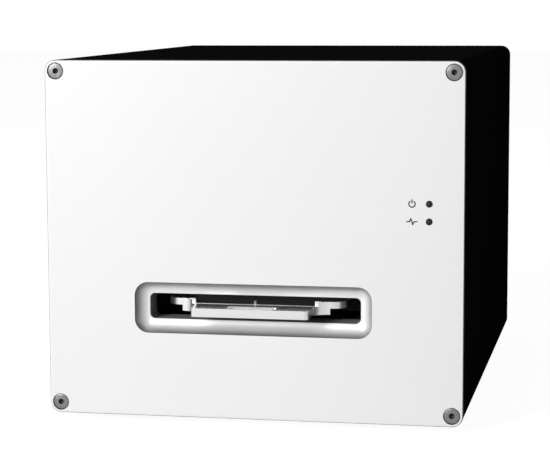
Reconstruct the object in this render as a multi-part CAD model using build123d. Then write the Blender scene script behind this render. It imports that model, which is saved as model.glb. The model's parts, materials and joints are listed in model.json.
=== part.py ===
from build123d import *

import math
import os

# A digital slide scanner. Millimetres, +Z up, +X to the viewer's right, -Y towards the viewer.
# The origin is on the table, under the middle of the object at rest.

# ---------------------------------------------------------------- enclosure
body_width = 190.0
body_height = 161.7
body_depth = 267.6
corner_radius = 5.0
tube_wall = 3.0
front_panel_thickness = 6.35
rear_panel_thickness = 4.0
panel_edge_break = 0.4
screw_port_wall = 3.0

# ---------------------------------------------------------------- panel screws
screw_inset = 5.0
screw_radius = 1.95
screw_length = 18.0
thread_clearance = 0.05
shank_clearance = 0.15
countersink_radius = 4.0
head_recess = 0.3
head_rim = 0.1
head_seat_gap = 0.1
hex_socket_across = 2.5
hex_socket_depth = 1.6

# ---------------------------------------------------------------- feet
foot_radius = 8.0
foot_height = 4.0
foot_edge_round = 1.0
foot_inset_x = 24.0
foot_inset_y = 28.0
foot_screw_radius = 1.95
foot_screw_head_radius = 3.5
foot_screw_head_height = 2.0
foot_screw_head_lift = 0.8

# ---------------------------------------------------------------- tray slot
slot_width = 97.1
slot_gap = 11.75
slot_height = 50.05
slot_corner_radius = 2.4
cove_radius = 5.75
liner_wall = 1.5
liner_length = 12.0
liner_flange_width = 5.0

# ---------------------------------------------------------------- indicators
led_inset = 15.5
upper_led_height = 99.2
led_pitch = 7.8
led_radius = 1.5
led_hole_gap = 0.05
led_proud = 0.7
led_length = 5.3
led_rim_radius = 1.9
led_rim_thickness = 1.0
led_pocket_gap = 0.2
led_lead_width = 0.5
led_lead_pitch = 1.27
led_board_width = 12.0
led_board_height = 22.0
board_thickness = 1.6
led_plug_width = 6.0
led_plug_depth = 5.0
led_plug_height = 4.0
led_plug_below = 7.0

# ---------------------------------------------------------------- slide tray
slide_seat_above_slot = 1.45
tray_reach = 7.25
tongue_half_width = 26.8
tongue_thickness = 4.0
tongue_drop = 0.15
tongue_corner_radius = 1.8
wing_half_width = 41.4
wing_front = 8.75
wing_round = 7.0
wing_back = 42.0
wing_back_round = 3.0
wing_under = 1.2
tray_block_half_width = 34.1
lip_front = 7.0
lip_gap_half_width = 27.5
pocket_half_width = 38.3
pocket_front = 9.5
pocket_length = 26.5
pocket_depth = 1.85
pocket_corner_radius = 1.0
nub_width = 2.8
nub_height = 0.35
aperture_half_width = 35.0
aperture_front = 11.6
aperture_length = 21.9
aperture_corner_radius = 2.5
recess_half_width = 11.3
recess_length = 7.1
recess_back = 0.9
recess_depth = 1.5
recess_corner_radius = 1.0
stop_pin_radius = 0.85
stop_pin_setback = 1.3
stop_pin_height = 1.8
stop_pin_depth = 2.5
stop_pin_chamfer = 0.3
spring_half_length = 15.0
spring_rise = 2.0
spring_thickness = 0.3
spring_proud = 0.4
spring_relief_margin = 0.5
spring_height = 1.4
tray_screw_radius = 1.45
tray_screw_head_radius = 2.8
tray_screw_spacing_x = 44.0
tray_screw_spacing_y = 16.0
tray_screw_length = 8.0

# ---------------------------------------------------------------- travels
tray_out_travel = 38.0
tray_in_travel = 51.5
scan_half_depth = 12.0
head_travel = 26.0
focus_down_travel = 2.0
focus_up_travel = 3.0

# ---------------------------------------------------------------- guides, screws and motors
rail_width = 9.0
rail_height = 6.5
rail_waist_radius = 0.75
guide_height = 10.0
block_underside = 2.0
block_width = 20.0
block_length = 32.0
guide_clearance = 0.08
screw_drive_radius = 2.5
running_clearance = 0.06
motor_size = 20.0
motor_length = 28.0
motor_corner = 2.5
motor_cap_length = 6.5
motor_waist_step = 1.25
motor_boss_radius = 7.5
motor_boss_height = 1.5
motor_gap = 0.5
bearing_wall = 3.5

# ---------------------------------------------------------------- base plate and tray stage
base_thickness = 6.0
base_side_gap = 8.0
base_front_gap = 3.65
base_back_gap = 3.6
rail_side_gap = 3.0
rail_beam_width = 10.0
rail_overrun = 4.0
bridge_thickness = 6.0
bridge_side_gap = 4.0
bridge_front_clearance = 1.65
tray_seat_margin = 2.0
drive_to_block = 7.0
drive_below_bridge = 5.5
nut_half_width = 6.0
nut_length = 14.0
nut_below_drive = 5.0
bracket_half_width = 11.5
bracket_thickness = 4.0
bracket_foot_length = 16.0
bracket_gap = 2.0
front_bearing_length = 5.0
front_bearing_gap = 1.5

# ---------------------------------------------------------------- head stage
column_clearance = 2.5
column_depth = 24.0
column_half_width = 20.0
web_thickness = 9.0
stage_base_gap = 2.0
stage_base_thickness = 6.0
stage_base_depth = 50.0
motor_side_gap = 6.0
head_rail_inset = 8.0
head_rail_overrun = 8.0
foot_plate_half_width = 22.0
foot_plate_thickness = 6.0
head_nut_half_length = 8.0
head_nut_half_width = 6.0
head_nut_lift = 0.5
lower_arm_half_width = 18.0
lower_arm_thickness = 9.0
lower_arm_lift = 3.0
lower_arm_nose = 18.0
upper_arm_half_width = 14.0
upper_arm_height = 44.0
upper_arm_setback = 32.0
optics_headroom = 34.7
end_bearing_thickness = 5.0

# ---------------------------------------------------------------- illuminator
lamp_radius = 17.0
lamp_wall = 3.0
lamp_ledge = 1.0
lamp_height = 18.0
lamp_board_thickness = 2.0
lamp_board_gap = 0.2
lamp_die_size = 4.0
lamp_die_height = 0.8
condenser_edge = 2.5
condenser_rise = 3.5
condenser_top_gap = 0.5
condenser_gap = 0.1

# ---------------------------------------------------------------- focus stage and objective
objective_working_gap = 6.0
objective_length = 43.0
objective_radius = 12.0
objective_nose_radius = 4.5
objective_nose_height = 10.5
objective_step_radius = 9.5
objective_step_height = 10.0
objective_thread_radius = 10.0
objective_thread_length = 4.5
objective_bore_radius = 7.5
objective_tip_bore_radius = 2.5
objective_knurl_count = 48
objective_knurl_depth = 0.35
objective_knurl_length = 6.0
lens_edge_gap = 0.05
front_lens_thickness = 1.5
rear_lens_thickness = 3.0
nosepiece_half_width = 16.0
nosepiece_thickness = 8.0
nosepiece_front = 16.0
focus_plate_half_width = 12.0
focus_plate_thickness = 6.0
focus_plate_height = 35.0
focus_plate_top_gap = 3.0
focus_guide_height = 8.0
focus_rail_width = 7.0
focus_rail_height = 5.0
focus_block_width = 17.0
focus_block_length = 24.0
focus_block_underside = 1.5
focus_drive_x = 26.0
focus_drive_setback = 28.0
focus_drive_radius = 2.0
focus_screw_tail = 5.5
focus_nut_half_depth = 8.0
focus_nut_side = 7.0
focus_nut_height = 10.0
focus_nut_arm_gap = 2.0
focus_nut_top_gap = 4.0
focus_motor_length = 24.0
focus_lug_thickness = 4.0
focus_lug_margin = 1.0
focus_shaft_gap = 0.3

# ---------------------------------------------------------------- imaging path
mirror_block_size = 28.0
mirror_block_wall = 3.0
mirror_port_radius = 9.0
mirror_thickness = 2.0
optic_axis_above_arm = 16.0
lens_tube_radius = 12.5
lens_tube_wall = 2.0
lens_tube_grip = 4.0
tube_lens_thickness = 4.0
tube_lens_inset = 16.0
tube_fit_gap = 0.05
clamp_half_width = 16.0
clamp_length = 10.0
clamp_first = 10.0
clamp_pitch = 26.0
camera_half_width = 16.0
camera_length = 36.0
camera_setback = 6.0
camera_wall = 2.5
camera_board_setback = 12.0
camera_board_gap = 0.2
sensor_size = 9.0
sensor_thickness = 1.2
camera_port_width = 12.0
camera_port_height = 5.0

# ---------------------------------------------------------------- electronics and rear sockets
main_board_side_gap = 6.0
main_board_back_gap = 8.6
main_board_gap = 4.0
standoff_height = 6.0
standoff_radius = 3.0
standoff_inset = 6.0
processor_size = 14.0
driver_size = 8.0
driver_pitch = 16.0
first_driver_x = -30.0
driver_count = 3
chip_thickness = 1.4
capacitor_radius = 4.0
capacitor_height = 10.0
capacitor_x = 22.0
capacitor_half_pitch = 6.0
header_length = 14.0
header_depth = 5.0
header_height = 6.0
header_pitch = 20.0
header_count = 5
usb_x = 50.0
usb_width = 12.0
usb_height = 11.0
usb_length = 18.0
usb_shell = 0.6
usb_tongue_width = 5.6
usb_tongue_height = 3.2
usb_tongue_length = 9.0
usb_hollow = 10.0
panel_cut_gap = 0.3
jack_x = -8.0
jack_height = 40.0
jack_body_radius = 6.5
jack_body_length = 12.0
jack_thread_radius = 5.5
jack_thread_gap = 0.1
jack_proud = 3.0
jack_bore_radius = 3.2
jack_bore_depth = 9.5
jack_pin_radius = 1.05
jack_pin_length = 8.5
jack_nut_across = 14.0
jack_nut_thickness = 2.0
switch_x = -52.0
switch_height = 40.0
switch_body_width = 13.0
switch_body_height = 19.2
switch_body_depth = 16.0
switch_bezel_width = 15.0
switch_bezel_height = 21.0
switch_bezel_thickness = 1.8
rocker_half_width = 4.7
rocker_half_height = 7.6
rocker_side_gap = 0.3
rocker_end_gap = 0.5
rocker_well_depth = 8.0
rocker_depth = 3.0
rocker_crown = 1.2
rocker_tilt = 9.0
rocker_axle_radius = 1.0
rocker_axle_grip = 0.8
rocker_axle_depth = 0.6
vent_length = 34.0
vent_width = 2.4
vent_pitch = 7.0
vent_count = 12
vent_below_top = 49.7
led_cable_radius = 1.2
led_cable_wall_gap = 3.0
led_cable_height = 66.0
led_cable_bend_run = 12.0
led_cable_bend_radius = 6.0
clip_size = 5.0
clip_bore_gap = 0.05
clip_inner_wall = 1.5
clip_count = 4
sensor_width = 6.0
sensor_length = 12.0
sensor_height = 10.0
sensor_slot = 2.0
sensor_slot_depth = 6.0

# ---------------------------------------------------------------- places worked out from the sizes
underside_z = foot_height
top_z = underside_z + body_height
floor_z = underside_z + tube_wall
ceiling_z = top_z - tube_wall
side_x = body_width / 2 - tube_wall
face_y = (tray_reach - switch_bezel_thickness - body_depth) / 2
back_y = face_y + body_depth
tube_front_y = face_y + front_panel_thickness
tube_back_y = back_y - rear_panel_thickness
slot_z = underside_z + slot_height
screw_heights = (underside_z + screw_inset, top_z - screw_inset)
screw_places = [(side * (body_width / 2 - screw_inset), z) for side in (-1, 1) for z in screw_heights]
foot_y = (face_y + foot_inset_y, back_y - foot_inset_y)
foot_places = [(side * (body_width / 2 - foot_inset_x), y) for side in (-1, 1) for y in foot_y]
led_x = body_width / 2 - led_inset
led_heights = (underside_z + upper_led_height, underside_z + upper_led_height - led_pitch)
head_radius = countersink_radius - head_recess - head_rim - head_seat_gap

# Slide tray levels and its place on the bridge
seat_z = slot_z + slide_seat_above_slot
tray_bottom_z = seat_z - tongue_thickness
wing_bottom_z = seat_z - wing_under
wing_top_z = seat_z + pocket_depth
tray_front_y = face_y - tray_reach
pocket_front_y = face_y + pocket_front
pocket_back_y = pocket_front_y + pocket_length
aperture_front_y = face_y + aperture_front
liner_back_y = tube_front_y + liner_length
bridge_front_y = liner_back_y + tray_out_travel + bridge_front_clearance
bridge_back_y = bridge_front_y + block_length
bridge_middle_y = (bridge_front_y + bridge_back_y) / 2
bridge_bottom_z = tray_bottom_z - bridge_thickness
tray_back_y = bridge_back_y - tray_seat_margin
optic_y = pocket_front_y + pocket_length / 2 + tray_in_travel - scan_half_depth

# Tray stage
base_top_z = floor_z + base_thickness
base_half_width = side_x - base_side_gap
base_front_y = tube_front_y + base_front_gap
base_back_y = tube_back_y - base_back_gap
tray_rail_x = side_x - rail_side_gap - block_width / 2
tray_rail_z = bridge_bottom_z - guide_height
tray_rail_front_y = bridge_front_y - tray_out_travel - rail_overrun
tray_rail_back_y = bridge_back_y + tray_in_travel + rail_overrun
tray_drive_x = tray_rail_x - block_width / 2 - drive_to_block
tray_drive_z = bridge_bottom_z - drive_below_bridge
bracket_front_y = tray_rail_back_y + bracket_gap
tray_motor_y = bracket_front_y + bracket_thickness
front_bearing_y = bridge_front_y - tray_out_travel - front_bearing_gap - front_bearing_length

# Head stage
column_front_y = bridge_back_y + tray_in_travel + column_clearance
column_back_y = column_front_y + column_depth
web_back_y = column_front_y + web_thickness
stage_front_y = web_back_y + stage_base_gap
stage_back_y = stage_front_y + stage_base_depth
head_rail_y = (stage_front_y + head_rail_inset, stage_back_y - head_rail_inset)
head_rail_z = base_top_z + stage_base_thickness
foot_plate_z = head_rail_z + guide_height
foot_plate_top_z = foot_plate_z + foot_plate_thickness
foot_plate_back_y = head_rail_y[1] + block_width / 2
head_drive_y = (head_rail_y[0] + head_rail_y[1]) / 2
head_drive_z = base_top_z + motor_size / 2 + motor_gap
stage_base_half_width = side_x - motor_side_gap - motor_length - bracket_thickness
head_motor_x = -stage_base_half_width - bracket_thickness
lower_arm_z = base_top_z + lower_arm_lift
lower_arm_top_z = lower_arm_z + lower_arm_thickness
lower_arm_front_y = optic_y - lower_arm_nose
column_top_z = ceiling_z - optics_headroom
upper_arm_z = column_top_z - upper_arm_height
upper_arm_front_y = optic_y + upper_arm_setback

# Focus stage
objective_bottom_z = seat_z + objective_working_gap
objective_shoulder_z = objective_bottom_z + objective_length
nosepiece_top_z = objective_shoulder_z + nosepiece_thickness
focus_plate_back_y = upper_arm_front_y - focus_guide_height
focus_plate_front_y = focus_plate_back_y - focus_plate_thickness
focus_plate_top_z = column_top_z - focus_plate_top_gap
focus_plate_bottom_z = focus_plate_top_z - focus_plate_height
focus_block_z = (focus_plate_top_z + focus_plate_bottom_z) / 2
focus_drive_y = optic_y + focus_drive_setback
focus_lug_bottom_z = column_top_z - focus_lug_thickness
focus_nut_z = focus_lug_bottom_z - focus_up_travel - focus_nut_top_gap - focus_nut_height
focus_screw_bottom_z = focus_nut_z - focus_down_travel - focus_screw_tail

# Imaging path
optic_axis_z = column_top_z + optic_axis_above_arm
mirror_block_back_y = optic_y + mirror_block_size / 2
lens_tube_front_y = mirror_block_back_y - lens_tube_grip
camera_front_y = column_front_y + camera_setback
lens_tube_back_y = camera_front_y + camera_wall
clamp_starts = [upper_arm_front_y + clamp_first + clamp_pitch * turn for turn in range(2)]

# Electronics and rear sockets
main_board_front_y = foot_plate_back_y + main_board_gap
main_board_z = base_top_z + standoff_height
main_board_top_z = main_board_z + board_thickness
main_board_back_y = tube_back_y - main_board_back_gap
main_board_half_width = base_half_width - main_board_side_gap
usb_z = main_board_top_z + usb_height / 2
jack_z = underside_z + jack_height
switch_z = underside_z + switch_height
rocker_axle_y = back_y + switch_bezel_thickness - rocker_axle_depth - rocker_axle_radius


# ---------------------------------------------------------------- helpers
base_centre = (Align.CENTER, Align.CENTER, Align.MIN)
top_centre = (Align.CENTER, Align.CENTER, Align.MAX)


def both(half):
    """Pair of faces the same distance either side of zero."""
    return (-half, half)


def around(middle, half):
    """Pair of faces the same distance either side of a middle."""
    return (middle - half, middle + half)


def slab(x_span, y_span, z_span):
    """Rectangular block between three pairs of faces."""
    spans = (x_span, y_span, z_span)
    low_corner = [span[0] for span in spans]
    size = [span[1] - span[0] for span in spans]
    return Pos(*low_corner) * Box(*size, align=(Align.MIN, Align.MIN, Align.MIN))


def rod(start, direction, length, radius):
    """Round bar that starts at a point and runs along a direction."""
    bar = Cylinder(radius, length, align=base_centre)
    return Plane(origin=start, z_dir=direction) * bar


def facing_back(y, z, x=0.0):
    """Sketch plane whose normal is +Y and whose x runs along +X."""
    return Plane(origin=(x, y, z), x_dir=(1, 0, 0), z_dir=(0, 1, 0))


def rounded_bar_y(width, height, radius, y_span, z_middle, x_middle=0.0):
    """Bar along Y with a rounded rectangular section."""
    outline = facing_back(y_span[0], z_middle, x_middle) * RectangleRounded(width, height, radius)
    return extrude(outline, amount=y_span[1] - y_span[0])


def plan_plate(outline, z_span):
    """Plate with an outline drawn in plan."""
    return extrude(Pos(0, 0, z_span[0]) * outline, amount=z_span[1] - z_span[0])


def rounded_plan(x_span, y_span, radius):
    """Rounded rectangle drawn in plan between two pairs of sides."""
    middle_x = (x_span[0] + x_span[1]) / 2
    middle_y = (y_span[0] + y_span[1]) / 2
    return Pos(middle_x, middle_y) * RectangleRounded(x_span[1] - x_span[0], y_span[1] - y_span[0], radius)


# ---------------------------------------------------------------- enclosure pieces
def flat_screw(place, outward):
    """Countersunk socket screw in an end panel; outward is -1 at the front and +1 at the back."""
    x, z = place
    outside_y = face_y if outward < 0 else back_y
    inward = (0, -outward, 0)
    top_y = outside_y - outward * head_recess
    cone_y = top_y - outward * head_rim
    cone_length = head_radius - screw_radius
    seat = Plane(origin=(x, cone_y, z), z_dir=inward)
    head = rod((x, top_y, z), inward, head_rim, head_radius)
    head += seat * Cone(head_radius, screw_radius, cone_length, align=base_centre)
    shank = rod((x, cone_y, z), inward, screw_length, screw_radius)
    socket_outline = Plane(origin=(x, top_y, z), z_dir=inward) * RegularPolygon(
        hex_socket_across / 2, 6, major_radius=False
    )
    return head + shank - extrude(socket_outline, amount=hex_socket_depth)


def panel_screws():
    """The eight screws of the two end panels."""
    return Compound(children=[flat_screw(place, outward) for outward in (-1, 1) for place in screw_places])


def countersunk_hole(place, outward, thickness):
    """Clearance hole and countersink for one end-panel screw."""
    x, z = place
    outside_y = face_y if outward < 0 else back_y
    inward = (0, -outward, 0)
    hole_radius = screw_radius + shank_clearance
    seat = Plane(origin=(x, outside_y, z), z_dir=inward)
    cone_length = countersink_radius - hole_radius
    cone = seat * Cone(countersink_radius, hole_radius, cone_length, align=base_centre)
    return cone + rod((x, outside_y, z), inward, thickness, hole_radius)


def enclosure_tube():
    """Extruded rounded-rectangle tube with a screw port in each corner."""
    span = (tube_front_y, tube_back_y)
    length = span[1] - span[0]
    middle_z = (underside_z + top_z) / 2
    outer = rounded_bar_y(body_width, body_height, corner_radius, span, middle_z)
    hollow = slab(both(side_x), span, (floor_z, ceiling_z))
    port_radius = screw_radius + thread_clearance
    for x, z in screw_places:
        hollow -= rod((x, span[0], z), (0, 1, 0), length, port_radius + screw_port_wall)
    tube = outer - hollow
    for x, z in screw_places:
        tube -= rod((x, span[0], z), (0, 1, 0), length, port_radius)
    for x, y in foot_places:
        tube -= rod((x, y, underside_z), (0, 0, 1), tube_wall, foot_screw_radius + shank_clearance)
    return tube


def cove_cut():
    """Scooped recess round the slot: the path of a ball along the slot's sharp rectangle."""
    half_width = slot_width / 2
    half_gap = slot_gap / 2
    middle = slab(both(half_width), around(face_y, cove_radius), around(slot_z, half_gap))
    for side in (-1, 1):
        middle += rod((-half_width, face_y, slot_z + side * half_gap), (1, 0, 0), slot_width, cove_radius)
        middle += rod((side * half_width, face_y, slot_z - half_gap), (0, 0, 1), slot_gap, cove_radius)
        for end in (-1, 1):
            middle += Pos(end * half_width, face_y, slot_z + side * half_gap) * Sphere(cove_radius)
    return middle


def front_panel():
    """Front plate with the scooped slot, screw seats and indicator holes."""
    span = (face_y, tube_front_y)
    panel = rounded_bar_y(body_width, body_height, corner_radius, span, (underside_z + top_z) / 2)
    panel = chamfer(panel.faces().sort_by(Axis.Y)[0].edges(), panel_edge_break)
    panel -= cove_cut()
    panel -= rounded_bar_y(slot_width, slot_gap, slot_corner_radius, span, slot_z)
    for place in screw_places:
        panel -= countersunk_hole(place, -1, front_panel_thickness)
    pocket_start = face_y - led_proud + led_length - led_rim_thickness
    for z in led_heights:
        panel -= rod((led_x, face_y, z), (0, 1, 0), front_panel_thickness, led_radius + led_hole_gap)
        pocket_length_y = tube_front_y - pocket_start
        panel -= rod((led_x, pocket_start, z), (0, 1, 0), pocket_length_y, led_rim_radius + led_pocket_gap)
    return panel


def rear_panel():
    """Back plate with vents and the cut-outs for the sockets and the switch."""
    span = (tube_back_y, back_y)
    panel = rounded_bar_y(body_width, body_height, corner_radius, span, (underside_z + top_z) / 2)
    panel = chamfer(panel.faces().sort_by(Axis.Y)[-1].edges(), panel_edge_break)
    for place in screw_places:
        panel -= countersunk_hole(place, 1, rear_panel_thickness)
    usb_half_width = usb_width / 2 + panel_cut_gap
    panel -= slab(around(usb_x, usb_half_width), span, around(usb_z, usb_height / 2 + panel_cut_gap))
    jack_hole = (jack_x, tube_back_y, jack_z)
    panel -= rod(jack_hole, (0, 1, 0), rear_panel_thickness, jack_thread_radius + jack_thread_gap)
    switch_half_width = switch_body_width / 2 + panel_cut_gap
    switch_half_height = switch_body_height / 2 + panel_cut_gap
    panel -= slab(around(switch_x, switch_half_width), span, around(switch_z, switch_half_height))
    first_vent = -vent_pitch * (vent_count - 1) / 2
    for index in range(vent_count):
        x = first_vent + index * vent_pitch
        slot = SlotOverall(vent_length, vent_width, rotation=90)
        outline = facing_back(tube_back_y, top_z - vent_below_top, x) * slot
        panel -= extrude(outline, amount=rear_panel_thickness)
    return panel


def slot_liner():
    """Dark sleeve behind the slot, with a flange bonded to the back of the front panel."""
    sleeve_width = slot_width + 2 * liner_wall
    sleeve_gap = slot_gap + 2 * liner_wall
    outer_radius = slot_corner_radius + liner_wall
    flange_span = (tube_front_y, tube_front_y + liner_wall)
    length_span = (tube_front_y, liner_back_y)
    liner = rounded_bar_y(sleeve_width, sleeve_gap, outer_radius, length_span, slot_z)
    liner += rounded_bar_y(
        sleeve_width + 2 * liner_flange_width,
        sleeve_gap + 2 * liner_flange_width,
        outer_radius + liner_flange_width,
        flange_span,
        slot_z,
    )
    return liner - rounded_bar_y(slot_width, slot_gap, slot_corner_radius, length_span, slot_z)


def rubber_foot(place):
    """One round bumper with a sunk seat for its screw."""
    x, y = place
    foot = rod((x, y, 0), (0, 0, 1), foot_height, foot_radius)
    foot = fillet(foot.edges().sort_by(Axis.Z)[0], foot_edge_round)
    head_top = foot_screw_head_lift + foot_screw_head_height
    foot -= rod((x, y, 0), (0, 0, 1), head_top, foot_screw_head_radius + shank_clearance)
    return foot - rod((x, y, 0), (0, 0, 1), foot_height, foot_screw_radius + shank_clearance)


def foot_screw(place):
    """Pan-head screw up through a foot and the tube's floor into the base plate."""
    x, y = place
    head = rod((x, y, foot_screw_head_lift), (0, 0, 1), foot_screw_head_height, foot_screw_head_radius)
    shank_length = base_top_z - foot_screw_head_lift
    return head + rod((x, y, foot_screw_head_lift), (0, 0, 1), shank_length, foot_screw_radius)


# ---------------------------------------------------------------- indicators
def indicator_led(z):
    """Round-nosed lamp whose dome stands just proud of the front face."""
    tip_y = face_y - led_proud
    dome_y = tip_y + led_radius
    back_of_rim = tip_y + led_length
    lamp = Pos(led_x, dome_y, z) * Sphere(led_radius)
    lamp += rod((led_x, dome_y, z), (0, 1, 0), led_length - led_radius, led_radius)
    lamp += rod((led_x, back_of_rim - led_rim_thickness, z), (0, 1, 0), led_rim_thickness, led_rim_radius)
    for side in (-1, 1):
        lead_x = around(led_x + side * led_lead_pitch, led_lead_width / 2)
        lead_z = around(z, led_lead_width / 2)
        lamp += slab(lead_x, (back_of_rim - led_rim_thickness, tube_front_y), lead_z)
    return lamp


def led_board():
    """Small circuit board on the back of the front panel, with its cable plug."""
    middle_z = (led_heights[0] + led_heights[1]) / 2
    board_span = (tube_front_y, tube_front_y + board_thickness)
    board = slab(around(led_x, led_board_width / 2), board_span, around(middle_z, led_board_height / 2))
    plug_z = middle_z - led_plug_below
    plug_span = (board_span[1], board_span[1] + led_plug_depth)
    return board + slab(around(led_x, led_plug_width / 2), plug_span, around(plug_z, led_plug_height / 2))


# ---------------------------------------------------------------- slide tray
def tray_outline():
    """Plan of the tongue, the swept shoulders and the wings."""
    shoulder_y = face_y + wing_front
    tongue_line = tongue_half_width + wing_round
    side_line = wing_half_width - wing_round
    back_y_line = face_y + wing_back
    with BuildSketch() as plan:
        with BuildLine():
            start = (0, tray_front_y)
            tongue_end = (tongue_half_width, shoulder_y - wing_round)
            Polyline(start, (tongue_half_width, tray_front_y), tongue_end)
            CenterArc((tongue_line, shoulder_y - wing_round), wing_round, 180, -90)
            Line((tongue_line, shoulder_y), (side_line, shoulder_y))
            CenterArc((side_line, shoulder_y + wing_round), wing_round, -90, 90)
            Polyline(
                (wing_half_width, shoulder_y + wing_round),
                (wing_half_width, back_y_line),
                (0, back_y_line),
                start,
            )
        make_face()
        mirror(about=Plane.YZ)
        nose = plan.vertices().group_by(Axis.Y)[0].sort_by(Axis.X)
        fillet([nose[0], nose[-1]], tongue_corner_radius)
        tail = plan.vertices().group_by(Axis.Y)[-1].sort_by(Axis.X)
        fillet([tail[0], tail[-1]], wing_back_round)
    return plan.sketch


def spring_centre():
    """Centre line radius and centre of the bowed slide spring."""
    radius = (spring_half_length**2 + spring_rise**2) / (2 * spring_rise)
    return radius, pocket_back_y - spring_proud + radius


def slide_tray():
    """Machined tray: finger tongue, wings, slide pocket, light aperture and rear deck."""
    outline = tray_outline()
    block_x = both(tray_block_half_width)
    core = slab(block_x, (tray_front_y, tray_back_y), (tray_bottom_z, seat_z))
    lower = plan_plate(outline, (tray_bottom_z, seat_z - tongue_drop)) & core
    wings = plan_plate(outline, (wing_bottom_z, wing_top_z)) - slab(
        both(wing_half_width), (tray_front_y, face_y + lip_front), (wing_bottom_z, wing_top_z)
    )
    deck = slab(block_x, (pocket_front_y, tray_back_y), (tray_bottom_z, seat_z))
    tray = lower + wings + deck
    lip_z = (seat_z, wing_top_z)
    tray -= slab(both(lip_gap_half_width), (face_y + lip_front, pocket_front_y), lip_z)
    pocket = rounded_plan(both(pocket_half_width), (pocket_front_y, pocket_back_y), pocket_corner_radius)
    tray -= plan_plate(pocket, lip_z)
    tray -= slab(both(lip_gap_half_width), (face_y + lip_front, aperture_front_y), lip_z)
    relief_half = spring_half_length + spring_relief_margin
    relief_back = pocket_back_y - spring_proud + spring_rise + spring_thickness
    tray -= slab(both(relief_half), (pocket_back_y - spring_proud, relief_back), lip_z)
    hole_y = (aperture_front_y, aperture_front_y + aperture_length)
    hole = rounded_plan(both(aperture_half_width), hole_y, aperture_corner_radius)
    tray -= plan_plate(hole, (tray_bottom_z, wing_top_z))
    recess_y = (face_y + recess_back - recess_length, face_y + recess_back)
    recess = rounded_plan(both(recess_half_width), recess_y, recess_corner_radius)
    tray -= plan_plate(recess, (seat_z - recess_depth, seat_z))
    for side in (-1, 1):
        inner = side * lip_gap_half_width
        nub_x = sorted((inner, inner + side * nub_width))
        tray += slab(nub_x, (face_y + lip_front, pocket_front_y), (wing_top_z, wing_top_z + nub_height))
    pin_y = pocket_front_y - stop_pin_setback
    tray -= rod((0, pin_y, seat_z - stop_pin_depth), (0, 0, 1), stop_pin_depth, stop_pin_radius)
    for x, y in tray_screw_places():
        tray -= tray_screw_shape(x, y, shank_clearance)
    return tray


def tray_screw_places():
    """Four places where the tray is screwed to the bridge."""
    middle_y = (bridge_front_y + tray_back_y) / 2
    half_x = tray_screw_spacing_x / 2
    half_y = tray_screw_spacing_y / 2
    return [(sx * half_x, middle_y + sy * half_y) for sx in (-1, 1) for sy in (-1, 1)]


def tray_screw_shape(x, y, gap):
    """Countersunk screw in the tray's deck, grown by a gap to make its hole."""
    cone_length = tray_screw_head_radius - tray_screw_radius
    cone = Cone(tray_screw_radius + gap, tray_screw_head_radius + gap, cone_length, align=top_centre)
    shank = Cylinder(tray_screw_radius + gap, tray_screw_length, align=top_centre)
    return Pos(x, y, seat_z) * (cone + shank)


def tray_screws():
    """The four countersunk tray screws, each with its hex socket."""
    screws = []
    for x, y in tray_screw_places():
        socket = Pos(x, y, seat_z) * RegularPolygon(hex_socket_across / 2, 6, major_radius=False)
        screws.append(tray_screw_shape(x, y, 0) - extrude(socket, amount=-hex_socket_depth))
    return Compound(children=screws)


def slide_stop_pin():
    """Bright dowel that the slide's front edge rests against."""
    pin_y = pocket_front_y - stop_pin_setback
    length = stop_pin_depth + stop_pin_height
    pin = rod((0, pin_y, seat_z - stop_pin_depth), (0, 0, 1), length, stop_pin_radius)
    return chamfer(pin.edges().sort_by(Axis.Z)[-1], stop_pin_chamfer)


def slide_spring():
    """Bowed spring leaf behind the slide, with its ends against the relief's back wall."""
    radius, centre_y = spring_centre()
    centre = (0, centre_y, seat_z)
    leaf = rod(centre, (0, 0, 1), spring_height, radius)
    leaf -= rod(centre, (0, 0, 1), spring_height, radius - spring_thickness)
    reach = (pocket_back_y - spring_proud, pocket_back_y - spring_proud + spring_rise + spring_thickness)
    return leaf & slab(both(spring_half_length), reach, (seat_z, seat_z + spring_height))


# ---------------------------------------------------------------- shared guide pieces
def guide_rail_y(x, y_span, z):
    """Profile rail along Y with a waist on each side for the balls."""
    rail = slab(around(x, rail_width / 2), y_span, (z, z + rail_height))
    waist_z = z + rail_height / 2
    for side in (-1, 1):
        edge_x = x + side * rail_width / 2
        rail -= rod((edge_x, y_span[0], waist_z), (0, 1, 0), y_span[1] - y_span[0], rail_waist_radius)
    return rail


def guide_block(rail_axis_x, y_span, z):
    """Bearing block that straddles a rail along Y."""
    block = slab(around(rail_axis_x, block_width / 2), y_span, (z + block_underside, z + guide_height))
    groove_x = around(rail_axis_x, rail_width / 2 + guide_clearance)
    return block - slab(groove_x, y_span, (z, z + rail_height + guide_clearance))


def quarter_turn(shape, x, y):
    """Turn a shape made along Y about a vertical axis so that it runs along X."""
    return Pos(x, y, 0) * Rot(0, 0, 90) * Pos(-x, -y, 0) * shape


def motor_body(length):
    """Square stepper motor with clipped corners, its face at zero and its body along +Z."""
    body = extrude(RectangleRounded(motor_size, motor_size, motor_corner), amount=length)
    waist_size = motor_size - 2 * motor_waist_step
    waist_length = length - 2 * motor_cap_length
    middle = Pos(0, 0, length / 2) * Box(motor_size, motor_size, waist_length)
    waist = Pos(0, 0, length / 2) * Box(waist_size, waist_size, waist_length)
    return body - (middle - waist)


# ---------------------------------------------------------------- base plate and tray stage
def base_plate():
    """Machined plate that carries the mechanism, screwed down through the feet."""
    plate = slab(both(base_half_width), (base_front_y, base_back_y), (floor_z, base_top_z))
    for x, y in foot_places:
        plate -= rod((x, y, floor_z), (0, 0, 1), base_thickness, foot_screw_radius + thread_clearance)
    return plate


def tray_rail_supports():
    """Two beams that lift the tray rails above the base plate."""
    span = (tray_rail_front_y, tray_rail_back_y)
    beams = []
    for side in (-1, 1):
        half = rail_beam_width / 2
        beams.append(slab(around(side * tray_rail_x, half), span, (base_top_z, tray_rail_z)))
    return Compound(children=beams)


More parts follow.
